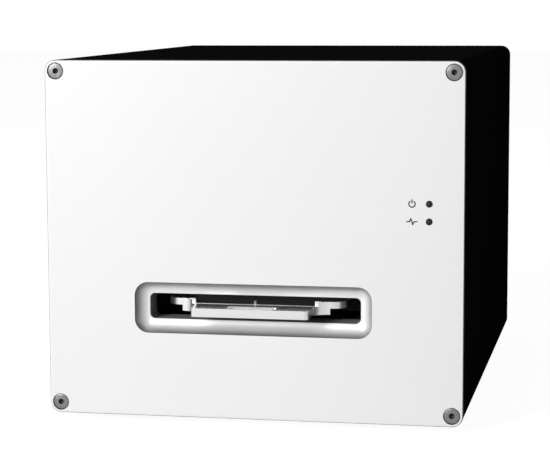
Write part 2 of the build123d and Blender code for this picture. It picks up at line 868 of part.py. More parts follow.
def tray_bearing_blocks():
    """One bearing block on each tray rail, under the ends of the bridge."""
    span = (bridge_front_y, bridge_back_y)
    return Compound(children=[guide_block(side * tray_rail_x, span, tray_rail_z) for side in (-1, 1)])


def tray_bridge():
    """Plate across both bearing blocks that carries the tray."""
    half_width = side_x - bridge_side_gap
    bridge = slab(both(half_width), (bridge_front_y, bridge_back_y), (bridge_bottom_z, tray_bottom_z))
    hole_radius = tray_screw_radius + thread_clearance
    for x, y in tray_screw_places():
        bridge -= rod((x, y, bridge_bottom_z), (0, 0, 1), bridge_thickness, hole_radius)
    return bridge


def tray_drive_nut():
    """Nut under the bridge that the lead screw drives."""
    x_span = around(tray_drive_x, nut_half_width)
    y_span = around(bridge_middle_y, nut_length / 2)
    nut = slab(x_span, y_span, (tray_drive_z - nut_below_drive, bridge_bottom_z))
    bore_radius = screw_drive_radius + running_clearance
    return nut - rod((tray_drive_x, y_span[0], tray_drive_z), (0, 1, 0), nut_length, bore_radius)


def tray_motor_bracket():
    """Angle bracket on the base plate that holds the tray motor."""
    x_span = around(tray_drive_x, bracket_half_width)
    top_z = tray_drive_z + motor_size / 2
    face = slab(x_span, (bracket_front_y, tray_motor_y), (base_top_z, top_z))
    foot_y_span = (bracket_front_y - bracket_foot_length, tray_motor_y)
    face += slab(x_span, foot_y_span, (base_top_z, base_top_z + bracket_thickness))
    hole = (tray_drive_x, bracket_front_y, tray_drive_z)
    return face - rod(hole, (0, 1, 0), bracket_thickness, motor_boss_radius + shank_clearance)


def tray_motor():
    """Stepper motor behind the bracket, with its pilot boss through the bracket."""
    motor = facing_back(tray_motor_y, tray_drive_z, tray_drive_x) * motor_body(motor_length)
    boss_start = (tray_drive_x, tray_motor_y - motor_boss_height, tray_drive_z)
    motor += rod(boss_start, (0, 1, 0), motor_boss_height, motor_boss_radius)
    bore_length = motor_boss_height + bearing_wall
    return motor - rod(boss_start, (0, 1, 0), bore_length, screw_drive_radius + running_clearance)


def tray_front_bearing():
    """Upright that holds the front end of the tray's lead screw."""
    y_span = (front_bearing_y, front_bearing_y + front_bearing_length)
    top_z = tray_drive_z + screw_drive_radius + bearing_wall
    upright = slab(around(tray_drive_x, nut_half_width), y_span, (base_top_z, top_z))
    start = (tray_drive_x, front_bearing_y, tray_drive_z)
    return upright - rod(start, (0, 1, 0), front_bearing_length, screw_drive_radius + running_clearance)


def tray_lead_screw():
    """Lead screw that is also the tray motor's shaft."""
    start_y = front_bearing_y
    length = tray_motor_y + bearing_wall - running_clearance - start_y
    return rod((tray_drive_x, start_y, tray_drive_z), (0, 1, 0), length, screw_drive_radius)


# ---------------------------------------------------------------- head stage
def head_stage_base():
    """Ground plate under the head's rails."""
    return slab(both(stage_base_half_width), (stage_front_y, stage_back_y), (base_top_z, head_rail_z))


def stage_rails():
    """Two rails along Y for the tray's bridge and two along X for the scanning head."""
    span = (tray_rail_front_y, tray_rail_back_y)
    rails = [guide_rail_y(side * tray_rail_x, span, tray_rail_z) for side in (-1, 1)]
    half = block_length / 2 + head_travel + head_rail_overrun
    for y in head_rail_y:
        rails.append(quarter_turn(guide_rail_y(0, around(y, half), head_rail_z), 0, y))
    return Compound(children=rails)


def head_bearing_blocks():
    """One bearing block on each head rail."""
    blocks = []
    for y in head_rail_y:
        blocks.append(quarter_turn(guide_block(0, around(y, block_length / 2), head_rail_z), 0, y))
    return Compound(children=blocks)


def head_drive_nut():
    """Nut under the head's foot plate."""
    z_span = (head_rail_z + head_nut_lift, foot_plate_z)
    nut = slab(both(head_nut_half_length), around(head_drive_y, head_nut_half_width), z_span)
    start = (-head_nut_half_length, head_drive_y, head_drive_z)
    return nut - rod(start, (1, 0, 0), 2 * head_nut_half_length, screw_drive_radius + running_clearance)


def head_motor_bracket():
    """Plate at the left end of the head stage that holds its motor."""
    x_span = (head_motor_x, -stage_base_half_width)
    top_z = head_drive_z + motor_size / 2
    plate = slab(x_span, around(head_drive_y, bracket_half_width), (base_top_z, top_z))
    start = (head_motor_x, head_drive_y, head_drive_z)
    return plate - rod(start, (1, 0, 0), bracket_thickness, motor_boss_radius + shank_clearance)


def head_motor():
    """Stepper motor for the scanning head."""
    seat = Plane(origin=(head_motor_x, head_drive_y, head_drive_z), x_dir=(0, 1, 0), z_dir=(-1, 0, 0))
    motor = seat * motor_body(motor_length)
    boss_start = (head_motor_x + motor_boss_height, head_drive_y, head_drive_z)
    motor += rod(boss_start, (-1, 0, 0), motor_boss_height, motor_boss_radius)
    bore_length = motor_boss_height + bearing_wall
    return motor - rod(boss_start, (-1, 0, 0), bore_length, screw_drive_radius + running_clearance)


def head_end_bearing():
    """Upright at the right end of the head's lead screw."""
    x_span = (stage_base_half_width, stage_base_half_width + end_bearing_thickness)
    top_z = head_drive_z + screw_drive_radius + bearing_wall
    upright = slab(x_span, around(head_drive_y, nut_half_width), (base_top_z, top_z))
    start = (x_span[0], head_drive_y, head_drive_z)
    return upright - rod(start, (1, 0, 0), end_bearing_thickness, screw_drive_radius + running_clearance)


def screw_bearings():
    """The two uprights that hold the free ends of the lead screws."""
    return Compound(children=[tray_front_bearing(), head_end_bearing()])


def head_lead_screw():
    """Lead screw that is also the head motor's shaft."""
    start_x = head_motor_x - bearing_wall + running_clearance
    length = stage_base_half_width + end_bearing_thickness - start_x
    return rod((start_x, head_drive_y, head_drive_z), (1, 0, 0), length, screw_drive_radius)


def scan_frame():
    """C-shaped frame: foot plate, column, lower arm for the lamp and upper arm for the optics."""
    column_x = both(column_half_width)
    foot_y_span = (column_front_y, foot_plate_back_y)
    frame = slab(both(foot_plate_half_width), foot_y_span, (foot_plate_z, foot_plate_top_z))
    frame += slab(column_x, (column_front_y, column_back_y), (foot_plate_z, column_top_z))
    arm_y = (lower_arm_front_y, web_back_y)
    frame += slab(both(lower_arm_half_width), arm_y, (lower_arm_z, lower_arm_top_z))
    frame += slab(both(lower_arm_half_width), (column_front_y, web_back_y), (lower_arm_z, foot_plate_top_z))
    upper_y = (upper_arm_front_y, column_back_y)
    frame += slab(both(upper_arm_half_width), upper_y, (upper_arm_z, column_top_z))
    lug_x = (upper_arm_half_width, focus_drive_x + motor_size / 2 + focus_lug_margin)
    lug_y = around(focus_drive_y, motor_size / 2 + focus_lug_margin)
    frame += slab(lug_x, (upper_arm_front_y, lug_y[1]), (focus_lug_bottom_z, column_top_z))
    frame += slab((focus_drive_x - motor_size / 2, lug_x[1]), lug_y, (focus_lug_bottom_z, column_top_z))
    hole = (focus_drive_x, focus_drive_y, focus_lug_bottom_z)
    return frame - rod(hole, (0, 0, 1), focus_lug_thickness, focus_drive_radius + focus_shaft_gap)


# ---------------------------------------------------------------- illuminator
def lamp_housing():
    """Open-topped barrel on the lower arm."""
    barrel = rod((0, optic_y, lower_arm_top_z), (0, 0, 1), lamp_height, lamp_radius)
    inner_radius = lamp_radius - lamp_wall
    ledge_z = lower_arm_top_z + lamp_height - condenser_edge - condenser_rise - condenser_top_gap
    barrel -= rod((0, optic_y, lower_arm_top_z), (0, 0, 1), lamp_height, inner_radius - lamp_ledge)
    barrel -= rod((0, optic_y, ledge_z), (0, 0, 1), lamp_height, inner_radius)
    return barrel


def lamp_board():
    """Round lamp board with its square emitter, on the lower arm inside the barrel."""
    board_radius = lamp_radius - lamp_wall - lamp_ledge - lamp_board_gap
    board = rod((0, optic_y, lower_arm_top_z), (0, 0, 1), lamp_board_thickness, board_radius)
    die_z = lower_arm_top_z + lamp_board_thickness
    die_half = lamp_die_size / 2
    return board + slab(both(die_half), around(optic_y, die_half), (die_z, die_z + lamp_die_height))


def condenser_lens():
    """Plano-convex lens on the ledge inside the barrel."""
    lens_radius = lamp_radius - lamp_wall - condenser_gap
    ledge_z = lower_arm_top_z + lamp_height - condenser_edge - condenser_rise - condenser_top_gap
    lens = rod((0, optic_y, ledge_z), (0, 0, 1), condenser_edge, lens_radius)
    dome_radius = (lens_radius**2 + condenser_rise**2) / (2 * condenser_rise)
    dome_z = ledge_z + condenser_edge + condenser_rise - dome_radius
    dome = Pos(0, optic_y, dome_z) * Sphere(dome_radius)
    cap = dome & rod((0, optic_y, ledge_z + condenser_edge), (0, 0, 1), condenser_rise, lens_radius)
    return lens + cap


# ---------------------------------------------------------------- focus stage
def focus_rail():
    """Short upright rail on the front of the upper arm."""
    y_span = (upper_arm_front_y - focus_rail_height, upper_arm_front_y)
    return slab(both(focus_rail_width / 2), y_span, (upper_arm_z, column_top_z))


def focus_bearing_block():
    """Bearing block that runs on the focus rail."""
    y_span = (focus_plate_back_y, upper_arm_front_y - focus_block_underside)
    z_span = around(focus_block_z, focus_block_length / 2)
    block = slab(both(focus_block_width / 2), y_span, z_span)
    groove_x = both(focus_rail_width / 2 + guide_clearance)
    groove_y = (upper_arm_front_y - focus_rail_height - guide_clearance, upper_arm_front_y)
    return block - slab(groove_x, groove_y, z_span)


def focus_carriage():
    """Bracket with the nosepiece shelf that the objective screws into."""
    plate_y = (focus_plate_front_y, focus_plate_back_y)
    bracket = slab(both(focus_plate_half_width), plate_y, (focus_plate_bottom_z, focus_plate_top_z))
    shelf_y = (optic_y - nosepiece_front, focus_plate_back_y)
    shelf_z = (objective_shoulder_z, nosepiece_top_z)
    bracket += slab(both(focus_plate_half_width), shelf_y, shelf_z)
    round_y = (optic_y - nosepiece_front, optic_y + nosepiece_front)
    shelf = rounded_plan(both(nosepiece_half_width), round_y, corner_radius)
    bracket += plan_plate(shelf, shelf_z)
    hole = (0, optic_y, objective_shoulder_z)
    return bracket - rod(hole, (0, 0, 1), nosepiece_thickness, objective_thread_radius + thread_clearance)


def focus_drive_nut():
    """Nut block on the side of the focus carriage, clear of the upper arm."""
    inner_x = upper_arm_half_width + focus_nut_arm_gap
    z_span = (focus_nut_z, focus_nut_z + focus_nut_height)
    plate_y = (focus_plate_front_y, focus_plate_back_y)
    nut_y = around(focus_drive_y, focus_nut_half_depth)
    nut = slab((inner_x, focus_drive_x + focus_nut_side), nut_y, z_span)
    nut += slab((focus_plate_half_width, inner_x), plate_y, z_span)
    bore = (focus_drive_x, focus_drive_y, focus_nut_z)
    return nut - rod(bore, (0, 0, 1), focus_nut_height, focus_drive_radius + running_clearance)


def focus_motor():
    """Stepper motor standing on the lug beside the upper arm."""
    seat = (focus_drive_x, focus_drive_y, column_top_z)
    motor = Pos(*seat) * motor_body(focus_motor_length)
    return motor - rod(seat, (0, 0, 1), bearing_wall, focus_drive_radius + running_clearance)


def focus_lead_screw():
    """Fine screw that is also the focus motor's shaft."""
    top_z = column_top_z + bearing_wall - running_clearance
    start = (focus_drive_x, focus_drive_y, focus_screw_bottom_z)
    return rod(start, (0, 0, 1), top_z - focus_screw_bottom_z, focus_drive_radius)


def objective_barrel():
    """Stepped and knurled objective with a tapered nose."""
    bottom = objective_bottom_z
    step_z = bottom + objective_nose_height
    body_z = step_z + objective_step_height
    nose = Cone(objective_nose_radius, objective_step_radius, objective_nose_height, align=base_centre)
    barrel = Pos(0, optic_y, bottom) * nose
    barrel += rod((0, optic_y, step_z), (0, 0, 1), objective_step_height, objective_step_radius)
    body_length = objective_shoulder_z - body_z
    barrel += rod((0, optic_y, body_z), (0, 0, 1), body_length, objective_radius)
    thread_start = (0, optic_y, objective_shoulder_z)
    barrel += rod(thread_start, (0, 0, 1), objective_thread_length, objective_thread_radius)
    bore_start = (0, optic_y, step_z)
    bore_length = objective_shoulder_z + objective_thread_length - step_z
    barrel -= rod(bore_start, (0, 0, 1), bore_length, objective_bore_radius)
    barrel -= rod((0, optic_y, bottom), (0, 0, 1), objective_nose_height, objective_tip_bore_radius)
    knurl_z = objective_shoulder_z - 2 * objective_knurl_length
    for index in range(objective_knurl_count):
        angle = 2 * math.pi * index / objective_knurl_count
        x = objective_radius * math.cos(angle)
        y = optic_y + objective_radius * math.sin(angle)
        barrel -= rod((x, y, knurl_z), (0, 0, 1), objective_knurl_length, objective_knurl_depth)
    return barrel


def objective_lenses():
    """Front element in the nose and rear element in the bore."""
    front_radius = objective_tip_bore_radius - lens_edge_gap
    rear_radius = objective_bore_radius - lens_edge_gap
    front = rod((0, optic_y, objective_bottom_z), (0, 0, 1), front_lens_thickness, front_radius)
    rear_z = objective_bottom_z + objective_nose_height + objective_step_height
    rear = rod((0, optic_y, rear_z), (0, 0, 1), rear_lens_thickness, rear_radius)
    return Compound(children=[front, rear])


# ---------------------------------------------------------------- imaging path
def mirror_block():
    """Hollow cube over the objective, with ports below and behind."""
    half = mirror_block_size / 2
    cube = slab(both(half), around(optic_y, half), around(optic_axis_z, half))
    inner = half - mirror_block_wall
    cube -= slab(both(inner), around(optic_y, inner), around(optic_axis_z, inner))
    cube -= rod((0, optic_y, optic_axis_z - half), (0, 0, 1), mirror_block_wall, mirror_port_radius)
    tube_bore = lens_tube_radius - lens_tube_wall + tube_fit_gap
    return cube - rod((0, optic_y + inner, optic_axis_z), (0, 1, 0), mirror_block_wall, tube_bore)


def turning_mirror():
    """Mirror plate at 45 degrees across the cube's hollow."""
    inner = mirror_block_size / 2 - mirror_block_wall
    half_length = (inner - mirror_thickness) * math.sqrt(2) - tube_fit_gap
    plate = Box(2 * (inner - tube_fit_gap), 2 * half_length, mirror_thickness)
    return Pos(0, optic_y, optic_axis_z) * Rot(45, 0, 0) * plate


def lens_tube():
    """Tube from the mirror cube to the camera."""
    start = (0, lens_tube_front_y, optic_axis_z)
    length = lens_tube_back_y - lens_tube_front_y
    inner_radius = lens_tube_radius - lens_tube_wall
    full_length = camera_front_y - mirror_block_back_y
    full = rod((0, mirror_block_back_y, optic_axis_z), (0, 1, 0), full_length, lens_tube_radius)
    spigot = rod(start, (0, 1, 0), length, inner_radius)
    return full + spigot - rod(start, (0, 1, 0), length, inner_radius - lens_tube_wall)


def tube_lens():
    """Glass disc inside the lens tube."""
    start = (0, mirror_block_back_y + tube_lens_inset, optic_axis_z)
    radius = lens_tube_radius - 2 * lens_tube_wall - lens_edge_gap
    return rod(start, (0, 1, 0), tube_lens_thickness, radius)


def tube_clamps():
    """Two clamp blocks on the upper arm that hold the lens tube."""
    clamps = []
    for start_y in clamp_starts:
        z_span = (column_top_z, optic_axis_z + optic_axis_above_arm)
        clamp = slab(both(clamp_half_width), (start_y, start_y + clamp_length), z_span)
        bore = (0, start_y, optic_axis_z)
        clamps.append(clamp - rod(bore, (0, 1, 0), clamp_length, lens_tube_radius + tube_fit_gap))
    return Compound(children=clamps)


def camera_housing():
    """Camera shell on top of the column, open at the back."""
    y_span = (camera_front_y, camera_front_y + camera_length)
    inner = camera_half_width - camera_wall
    shell = slab(both(camera_half_width), y_span, around(optic_axis_z, camera_half_width))
    hollow_y = (camera_front_y + camera_wall, y_span[1])
    shell -= slab(both(inner), hollow_y, around(optic_axis_z, inner))
    port = (0, camera_front_y, optic_axis_z)
    return shell - rod(port, (0, 1, 0), camera_wall, lens_tube_radius - lens_tube_wall + tube_fit_gap)


def camera_board():
    """Sensor board across the camera shell."""
    inner = camera_half_width - camera_wall - camera_board_gap
    board_y = camera_front_y + camera_board_setback
    board = slab(both(inner), (board_y, board_y + board_thickness), around(optic_axis_z, inner))
    sensor_y = (board_y - sensor_thickness, board_y)
    return board + slab(both(sensor_size / 2), sensor_y, around(optic_axis_z, sensor_size / 2))


def camera_back():
    """Back cover of the camera with its cable port."""
    back = camera_front_y + camera_length
    y_span = (back, back + camera_wall)
    cover = slab(both(camera_half_width), y_span, around(optic_axis_z, camera_half_width))
    return cover - slab(both(camera_port_width / 2), y_span, around(optic_axis_z, camera_port_height / 2))


# ---------------------------------------------------------------- electronics
def main_board():
    """Control board on standoffs behind the head stage."""
    y_span = (main_board_front_y, main_board_back_y)
    return slab(both(main_board_half_width), y_span, (main_board_z, main_board_top_z))


def board_standoffs():
    """Four pillars under the control board."""
    pillars = []
    for side in (-1, 1):
        for y in (main_board_front_y + standoff_inset, main_board_back_y - standoff_inset):
            x = side * (main_board_half_width - standoff_inset)
            pillars.append(rod((x, y, base_top_z), (0, 0, 1), standoff_height, standoff_radius))
    return Compound(children=pillars)


def board_chips():
    """Processor, motor drivers, capacitors and plug headers on the control board."""
    chip_z = (main_board_top_z, main_board_top_z + chip_thickness)
    middle_y = (main_board_front_y + main_board_back_y) / 2
    pieces = [slab(around(0, processor_size / 2), around(middle_y, processor_size / 2), chip_z)]
    for index in range(driver_count):
        x = first_driver_x - driver_pitch * index
        pieces.append(slab(around(x, driver_size / 2), around(middle_y, driver_size / 2), chip_z))
    for side in (-1, 1):
        x = capacitor_x + side * capacitor_half_pitch
        pieces.append(rod((x, middle_y, main_board_top_z), (0, 0, 1), capacitor_height, capacitor_radius))
    header_y = (main_board_front_y, main_board_front_y + header_depth)
    header_z = (main_board_top_z, main_board_top_z + header_height)
    first_header = -header_pitch * (header_count - 1) / 2
    for index in range(header_count):
        x = first_header + index * header_pitch
        pieces.append(slab(around(x, header_length / 2), header_y, header_z))
    return Compound(children=pieces)


def usb_socket():
    """Square data socket on the board's back edge, flush with the back panel."""
    y_span = (back_y - usb_length, back_y)
    half_width = usb_width / 2
    half_height = usb_height / 2
    socket = slab(around(usb_x, half_width), y_span, around(usb_z, half_height))
    mouth_y = (back_y - usb_hollow, back_y)
    mouth_half = (half_width - usb_shell, half_height - usb_shell)
    mouth = slab(around(usb_x, mouth_half[0]), mouth_y, around(usb_z, mouth_half[1]))
    tongue_y = (back_y - usb_hollow, back_y - usb_hollow + usb_tongue_length)
    tongue = slab(around(usb_x, usb_tongue_width / 2), tongue_y, around(usb_z, usb_tongue_height / 2))
    return socket - (mouth - tongue)


def power_jack():
    """Barrel socket through the back panel."""
    start = (jack_x, tube_back_y - jack_body_length, jack_z)
    end_y = back_y + jack_proud
    jack = rod(start, (0, 1, 0), jack_body_length, jack_body_radius)
    jack += rod(start, (0, 1, 0), end_y - start[1], jack_thread_radius)
    bore_start = (jack_x, end_y - jack_bore_depth, jack_z)
    jack -= rod(bore_start, (0, 1, 0), jack_bore_depth, jack_bore_radius)
    return jack + rod(bore_start, (0, 1, 0), jack_pin_length, jack_pin_radius)


def power_jack_nut():
    """Hexagon nut that clamps the barrel socket to the back panel."""
    hexagon = RegularPolygon(jack_nut_across / 2, 6, major_radius=False)
    nut = extrude(facing_back(back_y, jack_z, jack_x) * hexagon, amount=jack_nut_thickness)
    hole = (jack_x, back_y, jack_z)
    return nut - rod(hole, (0, 1, 0), jack_nut_thickness, jack_thread_radius + thread_clearance)


def switch_housing():
    """Snap-in housing of the power switch, with a well for the rocker."""
    body_y = (tube_back_y - switch_body_depth, back_y)
    bezel_y = (back_y, back_y + switch_bezel_thickness)
    body = slab(around(switch_x, switch_body_width / 2), body_y, around(switch_z, switch_body_height / 2))
    bezel_z = around(switch_z, switch_bezel_height / 2)
    body += slab(around(switch_x, switch_bezel_width / 2), bezel_y, bezel_z)
    well_y = (bezel_y[1] - rocker_well_depth, bezel_y[1])
    well_x = around(switch_x, rocker_half_width + rocker_side_gap)
    body -= slab(well_x, well_y, around(switch_z, rocker_half_height + rocker_end_gap))
    axle_half = rocker_half_width + rocker_side_gap + rocker_axle_grip
    start = (switch_x - axle_half, rocker_axle_y, switch_z)
    return body - rod(start, (1, 0, 0), 2 * axle_half, rocker_axle_radius + running_clearance)


def power_rocker():
    """Rocker with a crowned face and stub axles, tilted to its off side."""
    crown_y = rocker_axle_y + rocker_axle_radius + rocker_crown
    root_y = rocker_axle_y - rocker_depth
    half_height = rocker_half_height
    with BuildSketch(Plane.YZ) as side_view:
        with BuildLine():
            Polyline(
                (rocker_axle_y + rocker_axle_radius, switch_z),
                (crown_y, switch_z + half_height),
                (rocker_axle_y, switch_z + half_height),
                (root_y, switch_z + half_height / 2),
                (root_y, switch_z - half_height / 2),
                (rocker_axle_y, switch_z - half_height),
                (crown_y, switch_z - half_height),
                (rocker_axle_y + rocker_axle_radius, switch_z),
            )
        make_face()
    key = extrude(Pos(switch_x, 0, 0) * side_view.sketch, amount=rocker_half_width, both=True)
    axle_half = rocker_half_width + rocker_side_gap + rocker_axle_grip - running_clearance
    start = (switch_x - axle_half, rocker_axle_y, switch_z)
    key += rod(start, (1, 0, 0), 2 * axle_half, rocker_axle_radius)
    to_axle = Pos(switch_x, rocker_axle_y, switch_z)
    from_axle = Pos(-switch_x, -rocker_axle_y, -switch_z)
    return to_axle * Rot(rocker_tilt, 0, 0) * from_axle * key


def led_cable_route():
    """Points of the indicator cable: down the front, along the right wall and down to the board."""
    wall_x = side_x - led_cable_wall_gap
    plug_z = (led_heights[0] + led_heights[1]) / 2 - led_plug_below
    start_y = tube_front_y + board_thickness + led_plug_depth
    run_z = underside_z + led_cable_height
    header_x = header_pitch * (header_count - 1) / 2
    drop_y = main_board_front_y + header_depth / 2
    end_z = main_board_top_z + header_height
    return [
        (led_x, start_y, plug_z),
        (led_x, start_y + led_cable_bend_run, plug_z),
        (wall_x, start_y + 2 * led_cable_bend_run, run_z),
        (wall_x, drop_y - led_cable_bend_run, run_z),
        (header_x, drop_y, run_z - 2 * led_cable_bend_run),
        (header_x, drop_y, end_z),
    ]


def led_cable():
    """Round cable from the indicator board to the control board."""
    points = led_cable_route()
    route = FilletPolyline(*points, radius=led_cable_bend_radius)
    section = Plane(origin=points[0], z_dir=(0, 1, 0)) * Circle(led_cable_radius)
    return sweep(section, path=route)


def cable_clips():
    """Clips on the right wall that hold the indicator cable."""
    points = led_cable_route()
    start_y = points[2][1]
    end_y = points[3][1]
    middle_z = points[2][2]
    pitch = (end_y - start_y) / (clip_count + 1)
    clips = []
    for index in range(clip_count):
        y_span = around(start_y + (index + 1) * pitch, clip_size / 2)
        inner_x = side_x - led_cable_wall_gap - led_cable_radius - clip_bore_gap - clip_inner_wall
        clip = slab((inner_x, side_x), y_span, around(middle_z, clip_size / 2))
        bore = (side_x - led_cable_wall_gap, y_span[0], middle_z)
        clips.append(clip - rod(bore, (0, 1, 0), clip_size, led_cable_radius + clip_bore_gap))
    return Compound(children=clips)


def home_sensors():
    """Slotted light gates that find the home ends of the tray and the head."""
    gates = []
    tray_gate_x = -(base_half_width - rail_beam_width - sensor_width)
    tray_gate_y = bracket_front_y
    head_gate_x = stage_base_half_width + end_bearing_thickness + sensor_width
    head_gate_y = head_rail_y[1]
    gate_top_z = base_top_z + sensor_height
    for x, y in ((tray_gate_x, tray_gate_y), (head_gate_x, head_gate_y)):
        gate = slab(around(x, sensor_width / 2), (y, y + sensor_length), (base_top_z, gate_top_z))
        gap_y = around(y + sensor_length / 2, sensor_slot / 2)
        gate -= slab(around(x, sensor_width / 2), gap_y, (gate_top_z - sensor_slot_depth, gate_top_z))
        gates.append(gate)
    return Compound(children=gates)


# ---------------------------------------------------------------- the parts
parts = {
    "enclosure_tube": enclosure_tube(),
    "front_panel": front_panel(),
    "rear_panel": rear_panel(),
    "panel_screws": panel_screws(),
    "slot_liner": slot_liner(),
    "rubber_feet": Compound(children=[rubber_foot(place) for place in foot_places]),
    "foot_screws": Compound(children=[foot_screw(place) for place in foot_places]),
    "indicator_leds": Compound(children=[indicator_led(z) for z in led_heights]),
    "indicator_board": led_board(),
    "indicator_cable": led_cable(),
    "cable_clips": cable_clips(),
    "base_plate": base_plate(),
    "tray_rail_supports": tray_rail_supports(),
    "stage_rails": stage_rails(),
    "tray_motor_bracket": tray_motor_bracket(),
    "tray_motor": tray_motor(),
    "screw_bearings": screw_bearings(),
    "head_stage_base": head_stage_base(),
    "head_motor_bracket": head_motor_bracket(),
    "head_motor": head_motor(),
    "home_sensors": home_sensors(),
    "main_board": main_board(),
    "board_standoffs": board_standoffs(),
    "board_chips": board_chips(),
    "usb_socket": usb_socket(),
    "power_jack": power_jack(),
    "power_jack_nut": power_jack_nut(),
    "switch_housing": switch_housing(),
    "power_rocker": power_rocker(),
    "slide_tray": slide_tray(),
    "slide_stop_pin": slide_stop_pin(),
    "slide_spring": slide_spring(),
    "tray_screws": tray_screws(),
    "tray_bridge": tray_bridge(),
    "tray_bearing_blocks": tray_bearing_blocks(),
    "tray_drive_nut": tray_drive_nut(),
    "tray_lead_screw": tray_lead_screw(),
    "scan_frame": scan_frame(),
    "head_bearing_blocks": head_bearing_blocks(),
    "head_drive_nut": head_drive_nut(),
    "head_lead_screw": head_lead_screw(),
    "lamp_housing": lamp_housing(),
    "lamp_board": lamp_board(),
    "condenser_lens": condenser_lens(),
    "mirror_block": mirror_block(),
    "turning_mirror": turning_mirror(),
    "lens_tube": lens_tube(),
    "tube_lens": tube_lens(),
    "tube_clamps": tube_clamps(),
    "camera_housing": camera_housing(),
    "camera_board": camera_board(),
    "camera_back": camera_back(),
    "focus_rail": focus_rail(),
    "focus_motor": focus_motor(),
    "focus_lead_screw": focus_lead_screw(),
    "focus_carriage": focus_carriage(),
    "focus_bearing_block": focus_bearing_block(),
    "focus_drive_nut": focus_drive_nut(),
    "objective_barrel": objective_barrel(),
    "objective_lenses": objective_lenses(),
}

os.makedirs("parts", exist_ok=True)
for name, shape in parts.items():
    export_step(shape, f"parts/{name}.step")
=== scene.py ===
"""Looks of a digital slide scanner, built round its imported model."""

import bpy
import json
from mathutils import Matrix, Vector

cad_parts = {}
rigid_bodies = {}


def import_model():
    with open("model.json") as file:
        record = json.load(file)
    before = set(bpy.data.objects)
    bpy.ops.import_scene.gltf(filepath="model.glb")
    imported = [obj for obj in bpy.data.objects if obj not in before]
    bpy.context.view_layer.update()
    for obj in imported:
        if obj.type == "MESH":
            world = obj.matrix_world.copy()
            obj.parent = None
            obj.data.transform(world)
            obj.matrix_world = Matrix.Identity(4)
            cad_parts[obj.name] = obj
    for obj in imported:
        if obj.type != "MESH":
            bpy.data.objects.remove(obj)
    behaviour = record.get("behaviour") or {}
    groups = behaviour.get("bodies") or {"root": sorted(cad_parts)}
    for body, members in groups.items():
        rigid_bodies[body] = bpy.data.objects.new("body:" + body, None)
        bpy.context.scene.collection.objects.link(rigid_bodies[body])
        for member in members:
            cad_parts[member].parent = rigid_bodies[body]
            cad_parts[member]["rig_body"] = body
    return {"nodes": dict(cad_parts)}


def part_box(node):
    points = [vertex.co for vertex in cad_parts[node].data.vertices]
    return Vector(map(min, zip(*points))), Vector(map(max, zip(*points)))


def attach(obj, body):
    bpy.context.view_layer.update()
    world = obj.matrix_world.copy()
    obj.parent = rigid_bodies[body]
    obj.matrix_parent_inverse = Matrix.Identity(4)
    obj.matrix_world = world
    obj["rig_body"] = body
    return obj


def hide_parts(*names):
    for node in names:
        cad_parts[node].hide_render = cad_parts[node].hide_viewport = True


bl_info = {
    "name": "Slide Scanner Looks",
    "version": (1, 0, 0),
    "blender": (4, 5, 0),
    "location": "View3D > Sidebar > Scanner",
    "description": "Dresses the slide scanner's packed model with detailed pieces and finishes",
    "category": "Object",
}

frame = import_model()

import json
import math

import bmesh
import bpy
from bpy.props import FloatProperty, FloatVectorProperty, IntProperty, PointerProperty
from mathutils import Matrix, Vector
from mathutils.bvhtree import BVHTree

MM = 0.001
TOUCHING = 0.001 * MM
NODES = frame["nodes"]
FRONTWARD = Vector((0, -1, 0))
REARWARD = Vector((0, 1, 0))


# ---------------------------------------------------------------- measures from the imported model
def span(node):
    """Lowest and highest corner of a node."""
    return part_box(node)


def corner_places(reach, low, high, inset):
    """Four mirrored places, set in from a sideways reach and from both ends of a range."""
    ends = (low + inset, high - inset)
    return [(side * (reach - inset), end) for side in (-1, 1) for end in ends]


PANEL_LOW, PANEL_HIGH = span("front_panel")
FACE_Y = PANEL_LOW.y
MIDDLE_Z = (PANEL_LOW.z + PANEL_HIGH.z) / 2
REAR_HIGH = span("rear_panel")[1]
TRAY_HIGH = span("slide_tray")[1]
LINER_LOW, LINER_HIGH = span("slot_liner")
SLOT_Z = (LINER_LOW.z + LINER_HIGH.z) / 2
INDICATOR_LOW, INDICATOR_HIGH = span("indicator_leds")
INDICATOR_X = (INDICATOR_LOW.x + INDICATOR_HIGH.x) / 2
COLLAR_RADIUS = 1.9 * MM
INDICATOR_HEIGHTS = (INDICATOR_HIGH.z - COLLAR_RADIUS, INDICATOR_LOW.z + COLLAR_RADIUS)
SCREW_INSET = 5.0 * MM
SCREW_PLACES = corner_places(PANEL_HIGH.x, PANEL_LOW.z, PANEL_HIGH.z, SCREW_INSET)
FEET_LOW, FEET_HIGH = span("rubber_feet")
FOOT_RADIUS = 8.0 * MM
FOOT_PLACES = corner_places(FEET_HIGH.x, FEET_LOW.y, FEET_HIGH.y, FOOT_RADIUS)


# ---------------------------------------------------------------- settings
def length(name, description, millimetres):
    """A length setting, given in millimetres and kept in metres."""
    return FloatProperty(
        name=name, description=description, default=millimetres * MM, unit="LENGTH", precision=5
    )


def colour(name, description, value):
    """A colour setting."""
    return FloatVectorProperty(
        name=name, description=description, default=value, subtype="COLOR", size=3, min=0, max=1
    )


class ScannerSizes(bpy.types.PropertyGroup):
    """Sizes of the dressed pieces."""
    panel_corner: length("Panel Corner", "Corner radius of the front panel", 5.0)
    panel_edge: length("Panel Edge", "Rounding along the front panel's outer edge", 0.6)
    slot_width: length("Slot Width", "Width of the tray slot", 97.1)
    slot_gap: length("Slot Gap", "Height of the tray slot", 11.75)
    slot_corner: length("Slot Corner", "Corner radius of the tray slot", 2.4)
    cove_radius: length("Cove Radius", "Radius of the scoop round the slot", 5.75)
    cove_inner_corner: length("Cove Inner Corner", "Corner radius left at the scoop's floor", 0.6)
    cove_steps: IntProperty(
        name="Cove Steps", description="Steps in the scoop's curve", default=12, min=4, max=32
    )


